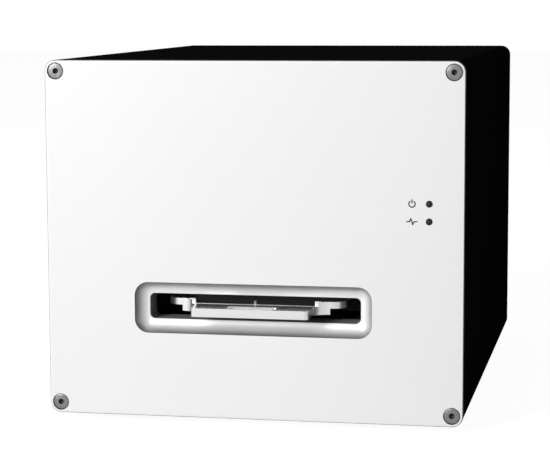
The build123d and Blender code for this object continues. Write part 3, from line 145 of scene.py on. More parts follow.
class ScannerColours(bpy.types.PropertyGroup):
    """Colours of the finishes."""
    panel_white: colour("Panel White", "Painted front panel", (0.86, 0.86, 0.865))
    shell_black: colour("Shell Black", "Black tube and back panel", (0.008, 0.008, 0.0085))
    tray_alloy: colour("Tray Alloy", "Bead-blasted tray", (0.60, 0.60, 0.605))
    floor_pale: colour("Floor", "Floor as the light meets it", (0.50, 0.50, 0.50))


# ---------------------------------------------------------------- shader nodes
def add_node(tree, kind, place, **values):
    """A node at a place in the tree, with its settings."""
    node = tree.nodes.new(kind)
    node.location = place
    for key, value in values.items():
        setattr(node, key, value)
    return node


def feed(tree, value, socket):
    """Links an output to a socket, or sets the socket to a plain value."""
    if isinstance(value, bpy.types.NodeSocket):
        tree.links.new(value, socket)
    else:
        socket.default_value = value


def arithmetic(tree, operation, place, *values, clamp=False):
    """A math node fed by outputs or numbers; returns its result."""
    node = add_node(tree, "ShaderNodeMath", place, operation=operation, use_clamp=clamp)
    for value, socket in zip(values, node.inputs):
        feed(tree, value, socket)
    return node.outputs[0]


def vector_step(tree, operation, place, first, second=None):
    """A vector math node fed by outputs or values; returns its result."""
    node = add_node(tree, "ShaderNodeVectorMath", place, operation=operation)
    feed(tree, first, node.inputs[0])
    if second is not None:
        feed(tree, second, node.inputs["Scale" if operation == "SCALE" else 1])
    return node.outputs["Value" if operation in {"DOT_PRODUCT", "LENGTH"} else "Vector"]


def noise(tree, place, vector, scale, detail=2.0):
    """The value of a noise texture."""
    texture = add_node(tree, "ShaderNodeTexNoise", place)
    for label, value in (("Vector", vector), ("Scale", scale), ("Detail", detail)):
        feed(tree, value, texture.inputs[label])
    return texture.outputs["Fac"]


def piece_place(tree, place, output="Object"):
    """A texture coordinate of the piece."""
    return add_node(tree, "ShaderNodeTexCoord", place).outputs[output]


def centred_on(tree, place, middle, spread, wave, clamp=False):
    """middle + spread * (wave - 0.5)."""
    x, y = place
    centred = arithmetic(tree, "SUBTRACT", place, wave, 0.5)
    scaled = arithmetic(tree, "MULTIPLY", (x + 160, y), centred, spread)
    return arithmetic(tree, "ADD", (x + 320, y), scaled, middle, clamp=clamp)


def shaded_colour(tree, place, base, spread, wave):
    """base made lighter and darker by spread as a wave goes from 0 to 1."""
    factor = centred_on(tree, place, 1.0, spread, wave)
    return vector_step(tree, "SCALE", (place[0] + 480, place[1]), base, factor)


# ---------------------------------------------------------------- shared surface effects
SURFACE_INPUTS = [
    ("Colour", "NodeSocketColor", (0.5, 0.5, 0.5, 1)),
    ("Shade Spread", "NodeSocketFloat", 0.1),
    ("Roughness", "NodeSocketFloat", 0.5),
    ("Roughness Spread", "NodeSocketFloat", 0.1),
]
HEIGHT_OUTPUT = ("Height", "NodeSocketFloat")
SURFACE_OUTPUTS = [("Colour", "NodeSocketColor"), ("Roughness", "NodeSocketFloat"), HEIGHT_OUTPUT]


def effect_group(name, inputs, outputs):
    """An empty shader node group with named sockets; returns it, its inputs and its end node."""
    group = bpy.data.node_groups.new(name, "ShaderNodeTree")
    for label, kind, default in inputs:
        socket = group.interface.new_socket(label, in_out="INPUT", socket_type=kind)
        socket.default_value = default
    for label, kind in outputs:
        group.interface.new_socket(label, in_out="OUTPUT", socket_type=kind)
    start = add_node(group, "NodeGroupInput", (-900, 0))
    end = add_node(group, "NodeGroupOutput", (700, 0))
    return group, start.outputs, end


def end_surface(group, given, end, shade_wave, rough_wave, height):
    """Feeds a surface group's outputs from its waves and its height."""
    tint = shaded_colour(group, (-440, 240), given["Colour"], given["Shade Spread"], shade_wave)
    rough = centred_on(
        group, (-440, -40), given["Roughness"], given["Roughness Spread"], rough_wave, clamp=True
    )
    for label, value in (("Colour", tint), ("Roughness", rough), ("Height", height)):
        group.links.new(value, end.inputs[label])


def build_grain_group():
    """Cast, painted or moulded grain: a cloudy shade over a fine even bump."""
    inputs = SURFACE_INPUTS + [
        ("Grain Scale", "NodeSocketFloat", 1500.0), ("Cloud Scale", "NodeSocketFloat", 18.0),
    ]
    group, given, end = effect_group("Surface Grain", inputs, SURFACE_OUTPUTS)
    place = piece_place(group, (-900, -300))
    grain = noise(group, (-680, -260), place, given["Grain Scale"])
    cloud = noise(group, (-680, 160), place, given["Cloud Scale"], detail=4.0)
    end_surface(group, given, end, cloud, grain, grain)
    return group


def build_lines_group():
    """Milled, ground or brushed lines that run across the stretch."""
    inputs = SURFACE_INPUTS + [("Stretch", "NodeSocketVector", (1500.0, 30.0, 1500.0))]
    group, given, end = effect_group("Tool Lines", inputs, SURFACE_OUTPUTS)
    place = piece_place(group, (-900, -300))
    stretched = vector_step(group, "MULTIPLY", (-700, -200), place, given["Stretch"])
    lines = noise(group, (-520, -200), stretched, 1.0, detail=3.0)
    cloud = noise(group, (-520, 160), place, 40.0)
    softer_lines = arithmetic(group, "MULTIPLY_ADD", (-340, 120), lines, 0.6, 0.2)
    end_surface(group, given, end, softer_lines, cloud, lines)
    return group


def build_rings_group():
    """Rings turned round the nearest of four mirrored centres."""
    inputs = [
        ("Middle", "NodeSocketVector", (0.0, 0.0, 0.0)),
        ("Offset", "NodeSocketVector", (0.0, 0.0, 0.0)),
        ("Across", "NodeSocketVector", (1.0, 0.0, 1.0)),
        ("Ring Scale", "NodeSocketFloat", 9000.0),
    ]
    group, given, end = effect_group("Turned Rings", inputs, [HEIGHT_OUTPUT])
    place = piece_place(group, (-1080, -200))
    centred = vector_step(group, "SUBTRACT", (-900, -200), place, given["Middle"])
    folded = vector_step(group, "ABSOLUTE", (-740, -200), centred)
    local = vector_step(group, "SUBTRACT", (-580, -200), folded, given["Offset"])
    flat = vector_step(group, "MULTIPLY", (-420, -200), local, given["Across"])
    reach = vector_step(group, "LENGTH", (-260, -200), flat)
    turns = arithmetic(group, "MULTIPLY", (-100, -200), reach, given["Ring Scale"])
    wave = arithmetic(group, "SINE", (60, -200), turns)
    group.links.new(wave, end.inputs["Height"])
    return group


def build_thread_group():
    """Ridges of a screw thread along one direction."""
    inputs = [
        ("Along", "NodeSocketVector", (0.0, 1.0, 0.0)), ("Pitch", "NodeSocketFloat", 0.002),
    ]
    group, given, end = effect_group("Thread Ridges", inputs, [HEIGHT_OUTPUT])
    place = piece_place(group, (-900, -200))
    along = vector_step(group, "DOT_PRODUCT", (-700, -200), place, given["Along"])
    turns = arithmetic(group, "DIVIDE", (-500, -200), along, given["Pitch"])
    angle = arithmetic(group, "MULTIPLY", (-340, -200), turns, 2 * math.pi)
    wave = arithmetic(group, "SINE", (-180, -200), angle)
    group.links.new(wave, end.inputs["Height"])
    return group


EFFECTS = {}


def build_effects():
    """Makes the shared groups once."""
    EFFECTS["grain"] = build_grain_group()
    EFFECTS["lines"] = build_lines_group()
    EFFECTS["rings"] = build_rings_group()
    EFFECTS["thread"] = build_thread_group()


# ---------------------------------------------------------------- kinds of finish
EVEN_LINES = (900.0, 900.0, 900.0)


def grey(level, blue):
    """A grey with its blue set apart."""
    return (level, level, blue)


def effect(tree, key, place, **values):
    """One shared group in a material, with its own values."""
    node = add_node(tree, "ShaderNodeGroup", place, node_tree=EFFECTS[key])
    for label, value in values.items():
        socket = node.inputs[label.replace("_", " ").title()]
        socket.default_value = (*value[:3], 1.0) if socket.type == "RGBA" else value
    return node


def surfaced(name, key, base, rough, shade, rough_spread, metallic=0.0, specular=0.5, **values):
    """A finish coloured by a shared group; returns it, its tree, its shader and the height."""
    material = bpy.data.materials.new(name)
    material.use_nodes = True
    tree = material.node_tree
    shader = tree.nodes["Principled BSDF"]
    shader.inputs["Metallic"].default_value = metallic
    shader.inputs["Specular IOR Level"].default_value = specular
    surface = effect(
        tree, key, (-480, 60), colour=base, shade_spread=shade, roughness=rough,
        roughness_spread=rough_spread, **values,
    )
    tree.links.new(surface.outputs["Colour"], shader.inputs["Base Color"])
    tree.links.new(surface.outputs["Roughness"], shader.inputs["Roughness"])
    return material, tree, shader, surface.outputs["Height"]


def use_bump(tree, shader, height, strength, distance):
    """Feeds a height to the shader's normal."""
    bump = add_node(tree, "ShaderNodeBump", (-220, -320))
    bump.inputs["Strength"].default_value = strength
    bump.inputs["Distance"].default_value = distance
    tree.links.new(height, bump.inputs["Height"])
    tree.links.new(bump.outputs["Normal"], shader.inputs["Normal"])


def grained(
    name, base, rough, shade=0.06, rough_spread=0.1, grain=1500.0, cloud=18.0, bump=0.1, **more
):
    """A finish with an even grain: paint, moulded plastic, rubber, cast or blasted metal."""
    material, tree, shader, height = surfaced(
        name, "grain", base, rough, shade, rough_spread, grain_scale=grain, cloud_scale=cloud,
        **more,
    )
    use_bump(tree, shader, height, bump, 0.05 * MM)
    return material


def tooled(name, base, rough, stretch, shade=0.12, **more):
    """A finish with tool lines: milled, ground, drawn or brushed metal."""
    material, tree, shader, height = surfaced(
        name, "lines", base, rough, shade, 0.12, stretch=stretch, **more
    )
    use_bump(tree, shader, height, 0.12, 0.04 * MM)
    return material


def scooped(name, base, rim, rough, **more):
    """Machined scoop with painted shade: its colour darkens towards its rim, where the wall turns
    away from the front.
    """
    material = tooled(name, base, rough, (400.0, 400.0, 400.0), shade=0.05, **more)
    tree = material.node_tree
    shader = tree.nodes["Principled BSDF"]
    tint = shader.inputs["Base Color"].links[0].from_socket
    # painted shade: the colour is scaled down as the surface turns away from the front, to the
    # rim's share at the steepest wall
    normal = piece_place(tree, (-1100, 300), "Normal")
    frontal = vector_step(tree, "DOT_PRODUCT", (-920, 300), normal, FRONTWARD)
    floor_share = arithmetic(tree, "MULTIPLY", (-740, 300), frontal, 1.0 - rim, clamp=True)
    share = arithmetic(tree, "ADD", (-560, 300), floor_share, rim)
    darkened = vector_step(tree, "SCALE", (-240, 260), tint, share)
    tree.links.new(darkened, shader.inputs["Base Color"])
    return material


def satin_black(name, base, rough, gloss, coat_rough):
    """Dark anodising that is matt from the side and satin when faced squarely."""
    material = grained(
        name, base, rough, shade=0.25, rough_spread=0.15, grain=2600.0, bump=0.1, specular=0.0
    )
    tree = material.node_tree
    shader = tree.nodes["Principled BSDF"]
    turned_away = add_node(tree, "ShaderNodeLayerWeight", (-900, 260))
    turned_away.inputs["Blend"].default_value = 0.5
    squarely = arithmetic(tree, "SUBTRACT", (-720, 260), 1.0, turned_away.outputs["Facing"])
    sharpened = arithmetic(tree, "POWER", (-560, 260), squarely, 3.0)
    weight = arithmetic(tree, "MULTIPLY", (-400, 260), sharpened, gloss)
    tree.links.new(weight, shader.inputs["Coat Weight"])
    shader.inputs["Coat Roughness"].default_value = coat_rough
    return material


def turned_head(name, base):
    """Plated screw with rings turned on its head, in each corner of the end panels."""
    material, tree, shader, _ = surfaced(
        name, "grain", base, 0.38, 0.25, 0.15, metallic=0.85, grain_scale=2600.0, cloud_scale=500.0
    )
    offset = (PANEL_HIGH.x - SCREW_INSET, 0.0, PANEL_HIGH.z - MIDDLE_Z - SCREW_INSET)
    rings = effect(
        tree, "rings", (-480, -280), middle=(0.0, 0.0, MIDDLE_Z), offset=offset,
        across=(1.0, 0.0, 1.0), ring_scale=26000.0,
    )
    use_bump(tree, shader, rings.outputs["Height"], 0.25, 0.02 * MM)
    return material


def threaded(name, along, pitch):
    """Ground screw with thread ridges."""
    material, tree, shader, _ = surfaced(
        name, "grain", grey(0.58, 0.59), 0.28, 0.1, 0.1, metallic=1.0, grain_scale=1800.0,
        cloud_scale=90.0,
    )
    ridges = effect(tree, "thread", (-480, -280), along=along, pitch=pitch)
    use_bump(tree, shader, ridges.outputs["Height"], 0.9, 0.4 * MM)
    return material


def clear_glass(name, tint):
    """Lens glass with a faint coating tint."""
    material, _, shader, _ = surfaced(
        name, "grain", tint, 0.02, 0.04, 0.01, grain_scale=300.0, cloud_scale=60.0
    )
    shader.inputs["Transmission Weight"].default_value = 1.0
    shader.inputs["IOR"].default_value = 1.52
    return material


# ---------------------------------------------------------------- finishes
FINISHES = {}


def build_paints(colours):
    """The paints, inks, plastics and dark coatings."""
    FINISHES.update(
        white_panel=grained(
            "White Paint", colours.panel_white, 0.42, shade=0.015, grain=1400.0, bump=0.05
        ),
        # painted shade: the white panel's sides and back are coloured near black for the shade on
        # its edges
        panel_side=satin_black("Panel Side", grey(0.011, 0.011), 0.5, 0.3, 0.3),
        black_shell=satin_black("Black Anodising", colours.shell_black, 0.62, 0.35, 0.32),
        mark_ink=grained("White Ink", grey(0.75, 0.75), 0.5, grain=2500.0, bump=0.02),
        print_ink=grained(
            "Printed Ink", grey(0.02, 0.021), 0.6, grain=2500.0, bump=0.02, specular=0.2
        ),
        black_plastic=grained("Sleeve Plastic", grey(0.20, 0.202), 0.5, grain=1800.0, bump=0.15),
        foot_rubber=grained(
            "Foot Rubber", grey(0.016, 0.017), 0.78, grain=1100.0, bump=0.3, specular=0.3
        ),
        indicator_lens=grained(
            "Smoked Lens", grey(0.006, 0.007), 0.3, grain=600.0, bump=0.02, specular=0.25
        ),
        circuit_board=tooled(
            "Solder Mask", (0.012, 0.075, 0.035), 0.35, (260.0, 40.0, 260.0), shade=0.35
        ),
        chip_plastic=grained("Chip Epoxy", grey(0.018, 0.020), 0.55, grain=2500.0, bump=0.2),
        cable_sheath=grained("Cable Sheath", grey(0.03, 0.032), 0.5, grain=900.0),
        socket_plastic=grained("Socket Plastic", grey(0.02, 0.022), 0.42),
        switch_plastic=grained("Switch Plastic", grey(0.012, 0.013), 0.4, specular=0.3),
        motor_shell=grained(
            "Motor Enamel", grey(0.028, 0.03), 0.4, grain=1200.0, bump=0.12, metallic=0.2
        ),
        lens_glass=clear_glass("Coated Glass", (0.93, 0.96, 1.0)),
    )


def build_metals(colours):
    """The bare, blasted, plated and anodised metals, and the painted shades on the panel, screws
    and tray.
    """
    FINISHES.update(
        # painted shade: the panel's rounded outer edge is coloured dark for the shaded line round
        # the panel
        bare_edge=tooled(
            "Bare Panel Edge", grey(0.08, 0.082), 0.5, EVEN_LINES, metallic=0.5, specular=0.2
        ),
        # painted shade: the scoop's colour darkens as its wall turns away from the front
        cove_alloy=scooped("Scooped Alloy", grey(0.74, 0.745), 0.07, 0.36, metallic=0.4),
        # painted shade: the countersink round each screw head is coloured dark for the shadow in
        # the gap round the head
        seat_alloy=tooled("Screw Countersink", grey(0.045, 0.047), 0.5, EVEN_LINES, metallic=0.8),
        # painted shade: the hexagon socket of each screw is coloured near black for the shade
        # inside it
        socket_dark=tooled("Socket Wall", grey(0.02, 0.021), 0.55, EVEN_LINES, metallic=0.6),
        screw_steel=turned_head("Plated Screw", grey(0.17, 0.175)),
        machined_alloy=tooled(
            "Milled Alloy", grey(0.62, 0.63), 0.34, (900.0, 45.0, 900.0), metallic=0.9
        ),
        dark_alloy=grained(
            "Dark Anodised Alloy", (0.035, 0.036, 0.04), 0.45, shade=0.2, grain=2300.0, metallic=0.4
        ),
        tray_alloy=grained(
            "Blasted Tray", colours.tray_alloy, 0.30, grain=3500.0, bump=0.06, metallic=1.0
        ),
        # painted shade: the recess behind the tray's tongue is coloured dark for the shade inside
        # the slot
        well_black=grained(
            "Blackened Well", grey(0.035, 0.036), 0.4, grain=2400.0, bump=0.08, metallic=0.5
        ),
        pin_steel=grained(
            "Pin Steel", grey(0.20, 0.205), 0.35, grain=2400.0, bump=0.05, metallic=0.8
        ),
        ground_steel=tooled(
            "Ground Steel", grey(0.56, 0.57), 0.22, (60.0, 1500.0, 1500.0), metallic=1.0
        ),
        drive_brass=tooled(
            "Turned Brass", (0.72, 0.50, 0.22), 0.3, (600.0, 600.0, 600.0), metallic=1.0
        ),
        socket_steel=tooled(
            "Drawn Steel", grey(0.60, 0.61), 0.25, (1100.0, 60.0, 1100.0), metallic=1.0
        ),
        objective_chrome=tooled(
            "Satin Chrome", grey(0.72, 0.73), 0.2, (80.0, 80.0, 2600.0), metallic=1.0
        ),
        mirror_coat=grained(
            "Mirror Coat", (0.86, 0.87, 0.88), 0.05, shade=0.03, grain=200.0, bump=0.01,
            metallic=1.0,
        ),
        tray_thread=threaded("Tray Screw Thread", (0.0, 1.0, 0.0), 2 * MM),
        head_thread=threaded("Head Screw Thread", (1.0, 0.0, 0.0), 2 * MM),
        focus_thread=threaded("Focus Screw Thread", (0.0, 0.0, 1.0), 1 * MM),
    )


# ---------------------------------------------------------------- dressing of carried-over pieces
FINISHED_NODES = {
    "black_shell": ("enclosure_tube", "rear_panel"),
    "white_panel": ("front_panel",),
    "screw_steel": ("panel_screws", "foot_screws", "tray_screws"),
    "black_plastic": ("slot_liner", "cable_clips"),
    "foot_rubber": ("rubber_feet",),
    "indicator_lens": ("indicator_leds",),
    "circuit_board": ("indicator_board", "main_board", "lamp_board", "camera_board"),
    "cable_sheath": ("indicator_cable",),
    "machined_alloy": (
        "base_plate", "tray_rail_supports", "tray_motor_bracket", "screw_bearings",
        "head_stage_base", "head_motor_bracket", "tube_clamps", "focus_carriage",
    ),
    "ground_steel": (
        "stage_rails", "slide_spring", "tray_bearing_blocks", "head_bearing_blocks", "focus_rail",
        "focus_bearing_block",
    ),
    "motor_shell": ("tray_motor", "head_motor", "focus_motor"),
    "chip_plastic": ("home_sensors", "board_chips"),
    "drive_brass": ("board_standoffs", "tray_drive_nut", "head_drive_nut", "focus_drive_nut"),
    "socket_steel": ("usb_socket", "power_jack_nut"),
    "socket_plastic": ("power_jack",),
    "switch_plastic": ("switch_housing", "power_rocker"),
    "tray_alloy": ("slide_tray",),
    "pin_steel": ("slide_stop_pin",),
    "dark_alloy": (
        "tray_bridge", "scan_frame", "lamp_housing", "mirror_block", "lens_tube", "camera_housing",
        "camera_back",
    ),
    "tray_thread": ("tray_lead_screw",),
    "head_thread": ("head_lead_screw",),
    "focus_thread": ("focus_lead_screw",),
    "lens_glass": ("condenser_lens", "tube_lens", "objective_lenses"),
    "mirror_coat": ("turning_mirror",),
    "objective_chrome": ("objective_barrel",),
}
NODE_FINISH = {node: key for key, nodes in FINISHED_NODES.items() for node in nodes}


def wear(node, key):
    """Puts a finish in every material slot of a carried-over piece."""
    piece = NODES[node]
    if not piece.material_slots:
        piece.data.materials.append(FINISHES[key])
    for place in piece.material_slots:
        place.material = FINISHES[key]


class SCANNER_OT_finishes(bpy.types.Operator):
    """Make the finishes and put them on the carried-over pieces"""
    bl_idname = "scanner.finishes"
    bl_label = "Finishes"

    def execute(self, context):
        colours = context.scene.scanner_colours
        build_effects()
        build_paints(colours)
        build_metals(colours)
        for node, key in NODE_FINISH.items():
            wear(node, key)
        return {"FINISHED"}


# ---------------------------------------------------------------- making of pieces
def put_in_scene(name, data):
    """A new object in the scene."""
    made = bpy.data.objects.new(name, data)
    bpy.context.scene.collection.objects.link(made)
    return made


def add_piece(shape, name, body, finishes, replaced=(), sharp=32.0):
    """Turns a finished shape into a piece that rides on a body."""
    mesh = bpy.data.meshes.new(name)
    shape.to_mesh(mesh)
    shape.free()
    for key in finishes:
        mesh.materials.append(FINISHES[key])
    mesh.shade_smooth()
    mesh.set_sharp_from_angle(angle=math.radians(sharp))
    piece = put_in_scene(name, mesh)
    evened = piece.modifiers.new("Even Normals", "WEIGHTED_NORMAL")
    evened.keep_sharp = True
    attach(piece, body)
    if replaced:
        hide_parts(*replaced)


def facing(place, direction, axis="Z"):
    """A place whose axis points along a direction."""
    turn = Vector(direction).to_track_quat(axis, "Y").to_matrix().to_4x4()
    return Matrix.Translation(place) @ turn


def settle(shape, before, place):
    """Evens the normals of what was made since a snapshot of vertices, and puts it in place."""
    made = [vert for vert in shape.verts if vert not in before]
    faces = list({face for vert in made for face in vert.link_faces})
    bmesh.ops.recalc_face_normals(shape, faces=faces)
    bmesh.ops.transform(shape, matrix=place, verts=made)


def turned(shape, profile, place, steps=48):
    """Spins a profile of (radius, height) in millimetres about Z and puts it in place."""
    before = set(shape.verts)
    verts = [shape.verts.new((radius * MM, 0, height * MM)) for radius, height in profile]
    edges = [shape.edges.new(pair) for pair in zip(verts, verts[1:])]
    bmesh.ops.spin(
        shape, geom=verts + edges, axis=(0, 0, 1), cent=(0, 0, 0), steps=steps,
        angle=2 * math.pi, use_merge=True,
    )
    made = [vert for vert in shape.verts if vert not in before]
    bmesh.ops.remove_doubles(shape, verts=made, dist=TOUCHING / 10)
    settle(shape, before, place)


def edges_among(edges, verts):
    """Those edges that run between some vertices."""
    chosen = set(verts)
    return [edge for edge in edges if edge.verts[0] in chosen and edge.verts[1] in chosen]


def ring_of(shape, radius, segments, place=Matrix()):
    """Edges of a circle round the Z of a place."""
    made = bmesh.ops.create_circle(
        shape, cap_ends=False, radius=radius, segments=segments, matrix=place
    )
    return edges_among(shape.edges, made["verts"])


def extend_ring(shape, edges, move, scale=(1, 1, 1), centre=(0, 0, 0), finish=0):
    """Extrudes a ring of edges, scales it about a centre and moves it; returns the new ring."""
    made = bmesh.ops.extrude_edge_only(shape, edges=edges)["geom"]
    verts = [item for item in made if isinstance(item, bmesh.types.BMVert)]
    bmesh.ops.scale(shape, vec=scale, space=Matrix.Translation(-Vector(centre)), verts=verts)
    bmesh.ops.translate(shape, vec=move, verts=verts)
    for item in made:
        if isinstance(item, bmesh.types.BMFace):
            item.material_index = finish
    return edges_among([item for item in made if isinstance(item, bmesh.types.BMEdge)], verts)


def rounded_face(shape, centre, half_width, half_height, radius, segments):
    """Upright rounded rectangle facing the viewer."""
    x, y, z = centre
    verts = []
    for quarter, (side_x, side_z) in enumerate(((1, 1), (-1, 1), (-1, -1), (1, -1))):
        for step in range(segments + 1):
            angle = math.pi / 2 * (quarter + step / segments)
            across = side_x * (half_width - radius) + radius * math.cos(angle)
            up = side_z * (half_height - radius) + radius * math.sin(angle)
            verts.append(shape.verts.new((x + across, y, z + up)))
    face = shape.faces.new(verts)
    face.normal_update()
    if face.normal.y > 0:
        face.normal_flip()
    return face


def round_in(shape, face, radius, finishes):
    """Insets a face along a quarter circle, with one finish a step, and opens it.

    A negative radius sinks the face. Returns the edges of its outline and of the opening.
    """
    steps = len(finishes)
    outline = None
    for index, finish in enumerate(finishes):
        start = math.pi / 2 * index / steps
        end = math.pi / 2 * (index + 1) / steps
        walls = bmesh.ops.inset_region(
            shape, faces=[face], thickness=abs(radius) * (math.cos(start) - math.cos(end)),
            depth=radius * (math.sin(end) - math.sin(start)),
            use_even_offset=True, use_boundary=True,
        )["faces"]
        for wall in walls:
            wall.material_index = finish
        if outline is None:
            outline = [edge for wall in walls for edge in wall.edges if edge.is_boundary]
    opening = list(face.edges)
    shape.faces.remove(face)
    return outline, opening


def fill_between(shape, edges, outward, finish):
    """Flat face between an outline and its holes."""
    made = bmesh.ops.triangle_fill(
        shape, edges=edges, use_beauty=True, use_dissolve=False, normal=outward
    )["geom"]
    for face in made:
        if isinstance(face, bmesh.types.BMFace):
            face.normal_update()
            if face.normal.dot(outward) < 0:
                face.normal_flip()
            face.material_index = finish


# ---------------------------------------------------------------- front panel
PANEL_FINISHES = ("white_panel", "cove_alloy", "seat_alloy", "panel_side", "bare_edge")
WHITE, COVE, SEAT, SIDE, BARE = range(len(PANEL_FINISHES))
PANEL_CORNER_STEPS = 14
SLOT_CORNER_STEPS = 12
SLOT_LIP = 0.1 * MM
SEAT_RADIUS = 3.85 * MM
SEAT_DEPTH = 1.9 * MM
SHANK_HOLE_RADIUS = 2.1 * MM
LAMP_HOLE_RADIUS = 1.55 * MM
LAMP_POCKET_RADIUS = 2.1 * MM
LAMP_SHOULDER = 4.3 * MM
UPRIGHT = Matrix.Rotation(math.pi / 2, 4, "X")


def sink_cove(shape, sizes):
    """The scooped recess and the slot; returns its mouth's edges and the slot's back edges."""
    reach = sizes.cove_radius
    half_width = sizes.slot_width / 2
    half_height = sizes.slot_gap / 2
    mouth = rounded_face(
        shape, (0, FACE_Y, SLOT_Z), half_width + reach, half_height + reach,
        reach + sizes.cove_inner_corner, SLOT_CORNER_STEPS,
    )
    mouth_edges, floor_edges = round_in(shape, mouth, -reach, [COVE] * sizes.cove_steps)
    lip_y = FACE_Y + reach + SLOT_LIP
    slot = rounded_face(
        shape, (0, lip_y, SLOT_Z), half_width, half_height, sizes.slot_corner, SLOT_CORNER_STEPS
    )
    slot_edges = list(slot.edges)
    shape.faces.remove(slot)
    for face in bmesh.ops.bridge_loops(shape, edges=floor_edges + slot_edges)["faces"]:
        face.material_index = COVE
    back_edges = extend_ring(shape, slot_edges, (0, PANEL_HIGH.y - lip_y, 0), finish=COVE)
    return mouth_edges, back_edges


def sink_screw_seat(shape, place):
    """Countersink and clearance hole for one screw; returns its front and back edges."""
    mouth = ring_of(shape, SEAT_RADIUS, 36, Matrix.Translation(place) @ UPRIGHT)
    taper = SHANK_HOLE_RADIUS / SEAT_RADIUS
    # painted shade: the countersink and the hole behind it take the dark seat finish
    seat = extend_ring(shape, mouth, (0, SEAT_DEPTH, 0), (taper, 1, taper), place, SEAT)
    back = extend_ring(shape, seat, (0, PANEL_HIGH.y - FACE_Y - SEAT_DEPTH, 0), finish=SEAT)
    return mouth, back


def sink_lamp_hole(shape, place):
    """Hole and rear pocket for one indicator; returns its front and back edges."""
    mouth = ring_of(shape, LAMP_HOLE_RADIUS, 24, Matrix.Translation(place) @ UPRIGHT)
    shoulder_y = INDICATOR_LOW.y + LAMP_SHOULDER - FACE_Y
    widening = LAMP_POCKET_RADIUS / LAMP_HOLE_RADIUS
    shoulder = extend_ring(shape, mouth, (0, shoulder_y, 0))
    pocket = extend_ring(shape, shoulder, (0, 0, 0), (widening, 1, widening), place)
    back = extend_ring(shape, pocket, (0, PANEL_HIGH.y - FACE_Y - shoulder_y, 0))
    return mouth, back


class SCANNER_OT_front_panel(bpy.types.Operator):
    """Make the white front panel with its scooped slot, screw seats and lamp holes"""
    bl_idname = "scanner.front_panel"
    bl_label = "Front Panel"

    def execute(self, context):
        sizes = context.scene.scanner_sizes
        edge = sizes.panel_edge
        shape = bmesh.new()
        front = rounded_face(
            shape, (0, FACE_Y + edge, MIDDLE_Z), (PANEL_HIGH.x - PANEL_LOW.x) / 2,
            (PANEL_HIGH.z - PANEL_LOW.z) / 2, sizes.panel_corner, PANEL_CORNER_STEPS,
        )
        # painted shade: the first two steps of the edge rounding take the dark edge finish
        outline, front_edges = round_in(shape, front, edge, (BARE, BARE, WHITE))
        # painted shade: the panel's sides take the dark side finish
        back_edges = extend_ring(shape, outline, (0, PANEL_HIGH.y - FACE_Y - edge, 0), finish=SIDE)
        holes = [sink_cove(shape, sizes)]
        holes += [sink_screw_seat(shape, (x, FACE_Y, z)) for x, z in SCREW_PLACES]
        holes += [sink_lamp_hole(shape, (INDICATOR_X, FACE_Y, z)) for z in INDICATOR_HEIGHTS]
        for mouth, back in holes:
            front_edges += mouth
            back_edges += back
        fill_between(shape, front_edges, FRONTWARD, WHITE)
        fill_between(shape, back_edges, REARWARD, SIDE)
        bmesh.ops.recalc_face_normals(shape, faces=shape.faces)
        add_piece(
            shape, "front_plate", "chassis", PANEL_FINISHES, ("front_panel",), sharp=25.0,
        )
        return {"FINISHED"}


# ---------------------------------------------------------------- screws and indicators
SOCKET_RADIUS = 1.4434 * MM  # to the corners of a 2.5 mm hexagon
HEAD_RADIUS = 3.2 * MM
HEAD_SINK = 0.3 * MM
# Each step: how much the ring grows or shrinks, and how far it drops in millimetres.
SOCKET_STEPS = ((0.93, 0.12), (1.0, 1.3), (0.02, 0.5))
SHANK_STEPS = ((3.45 / 3.2, 0.14), (3.5 / 3.45, 0.1), (1.95 / 3.5, 1.55), (1.0, 15.6), (0.7, 0.6))
DOME_RADIUS = 1.5
DOME_ANGLES = [math.radians(angle) for angle in range(0, 91, 9)]
LAMP_PROFILE = [
    *((DOME_RADIUS * math.sin(a), DOME_RADIUS * math.cos(a) - DOME_RADIUS) for a in DOME_ANGLES),
    (1.5, -4.25), (1.6, -4.3), (1.88, -4.3), (1.9, -4.34), (1.9, -5.26), (1.86, -5.3), (0, -5.3),
]
LEAD_SIZE = (0.5 * MM, 2.0 * MM, 0.5 * MM)
LEAD_OFFSET = 1.27 * MM


def socket_screw(shape, place, outward):
    """Countersunk screw with a hexagon socket, its head's top at the place."""
    before = set(shape.verts)
    socket = ring_of(shape, SOCKET_RADIUS, 6)
    shank = ring_of(shape, HEAD_RADIUS, 36)
    bmesh.ops.bridge_loops(shape, edges=socket + shank)
    # painted shade: the socket's walls take the second finish, coloured near black for the shade
    # inside
    for scale, drop in SOCKET_STEPS:
        socket = extend_ring(shape, socket, (0, 0, -drop * MM), (scale, scale, 1), finish=1)
    for scale, drop in SHANK_STEPS:
        shank = extend_ring(shape, shank, (0, 0, -drop * MM), (scale, scale, 1))
    bmesh.ops.holes_fill(shape, edges=shank + socket, sides=0)
    settle(shape, before, facing(place, outward))


class SCANNER_OT_panel_screws(bpy.types.Operator):
    """Make the eight socket screws of the two end panels"""
    bl_idname = "scanner.panel_screws"
    bl_label = "Panel Screws"

    def execute(self, context):
        shape = bmesh.new()
        for x, z in SCREW_PLACES:
            socket_screw(shape, (x, FACE_Y + HEAD_SINK, z), FRONTWARD)
            socket_screw(shape, (x, REAR_HIGH.y - HEAD_SINK, z), REARWARD)
        add_piece(
            shape, "socket_screws", "chassis", ("screw_steel", "socket_dark"), ("panel_screws",),
        )
        return {"FINISHED"}


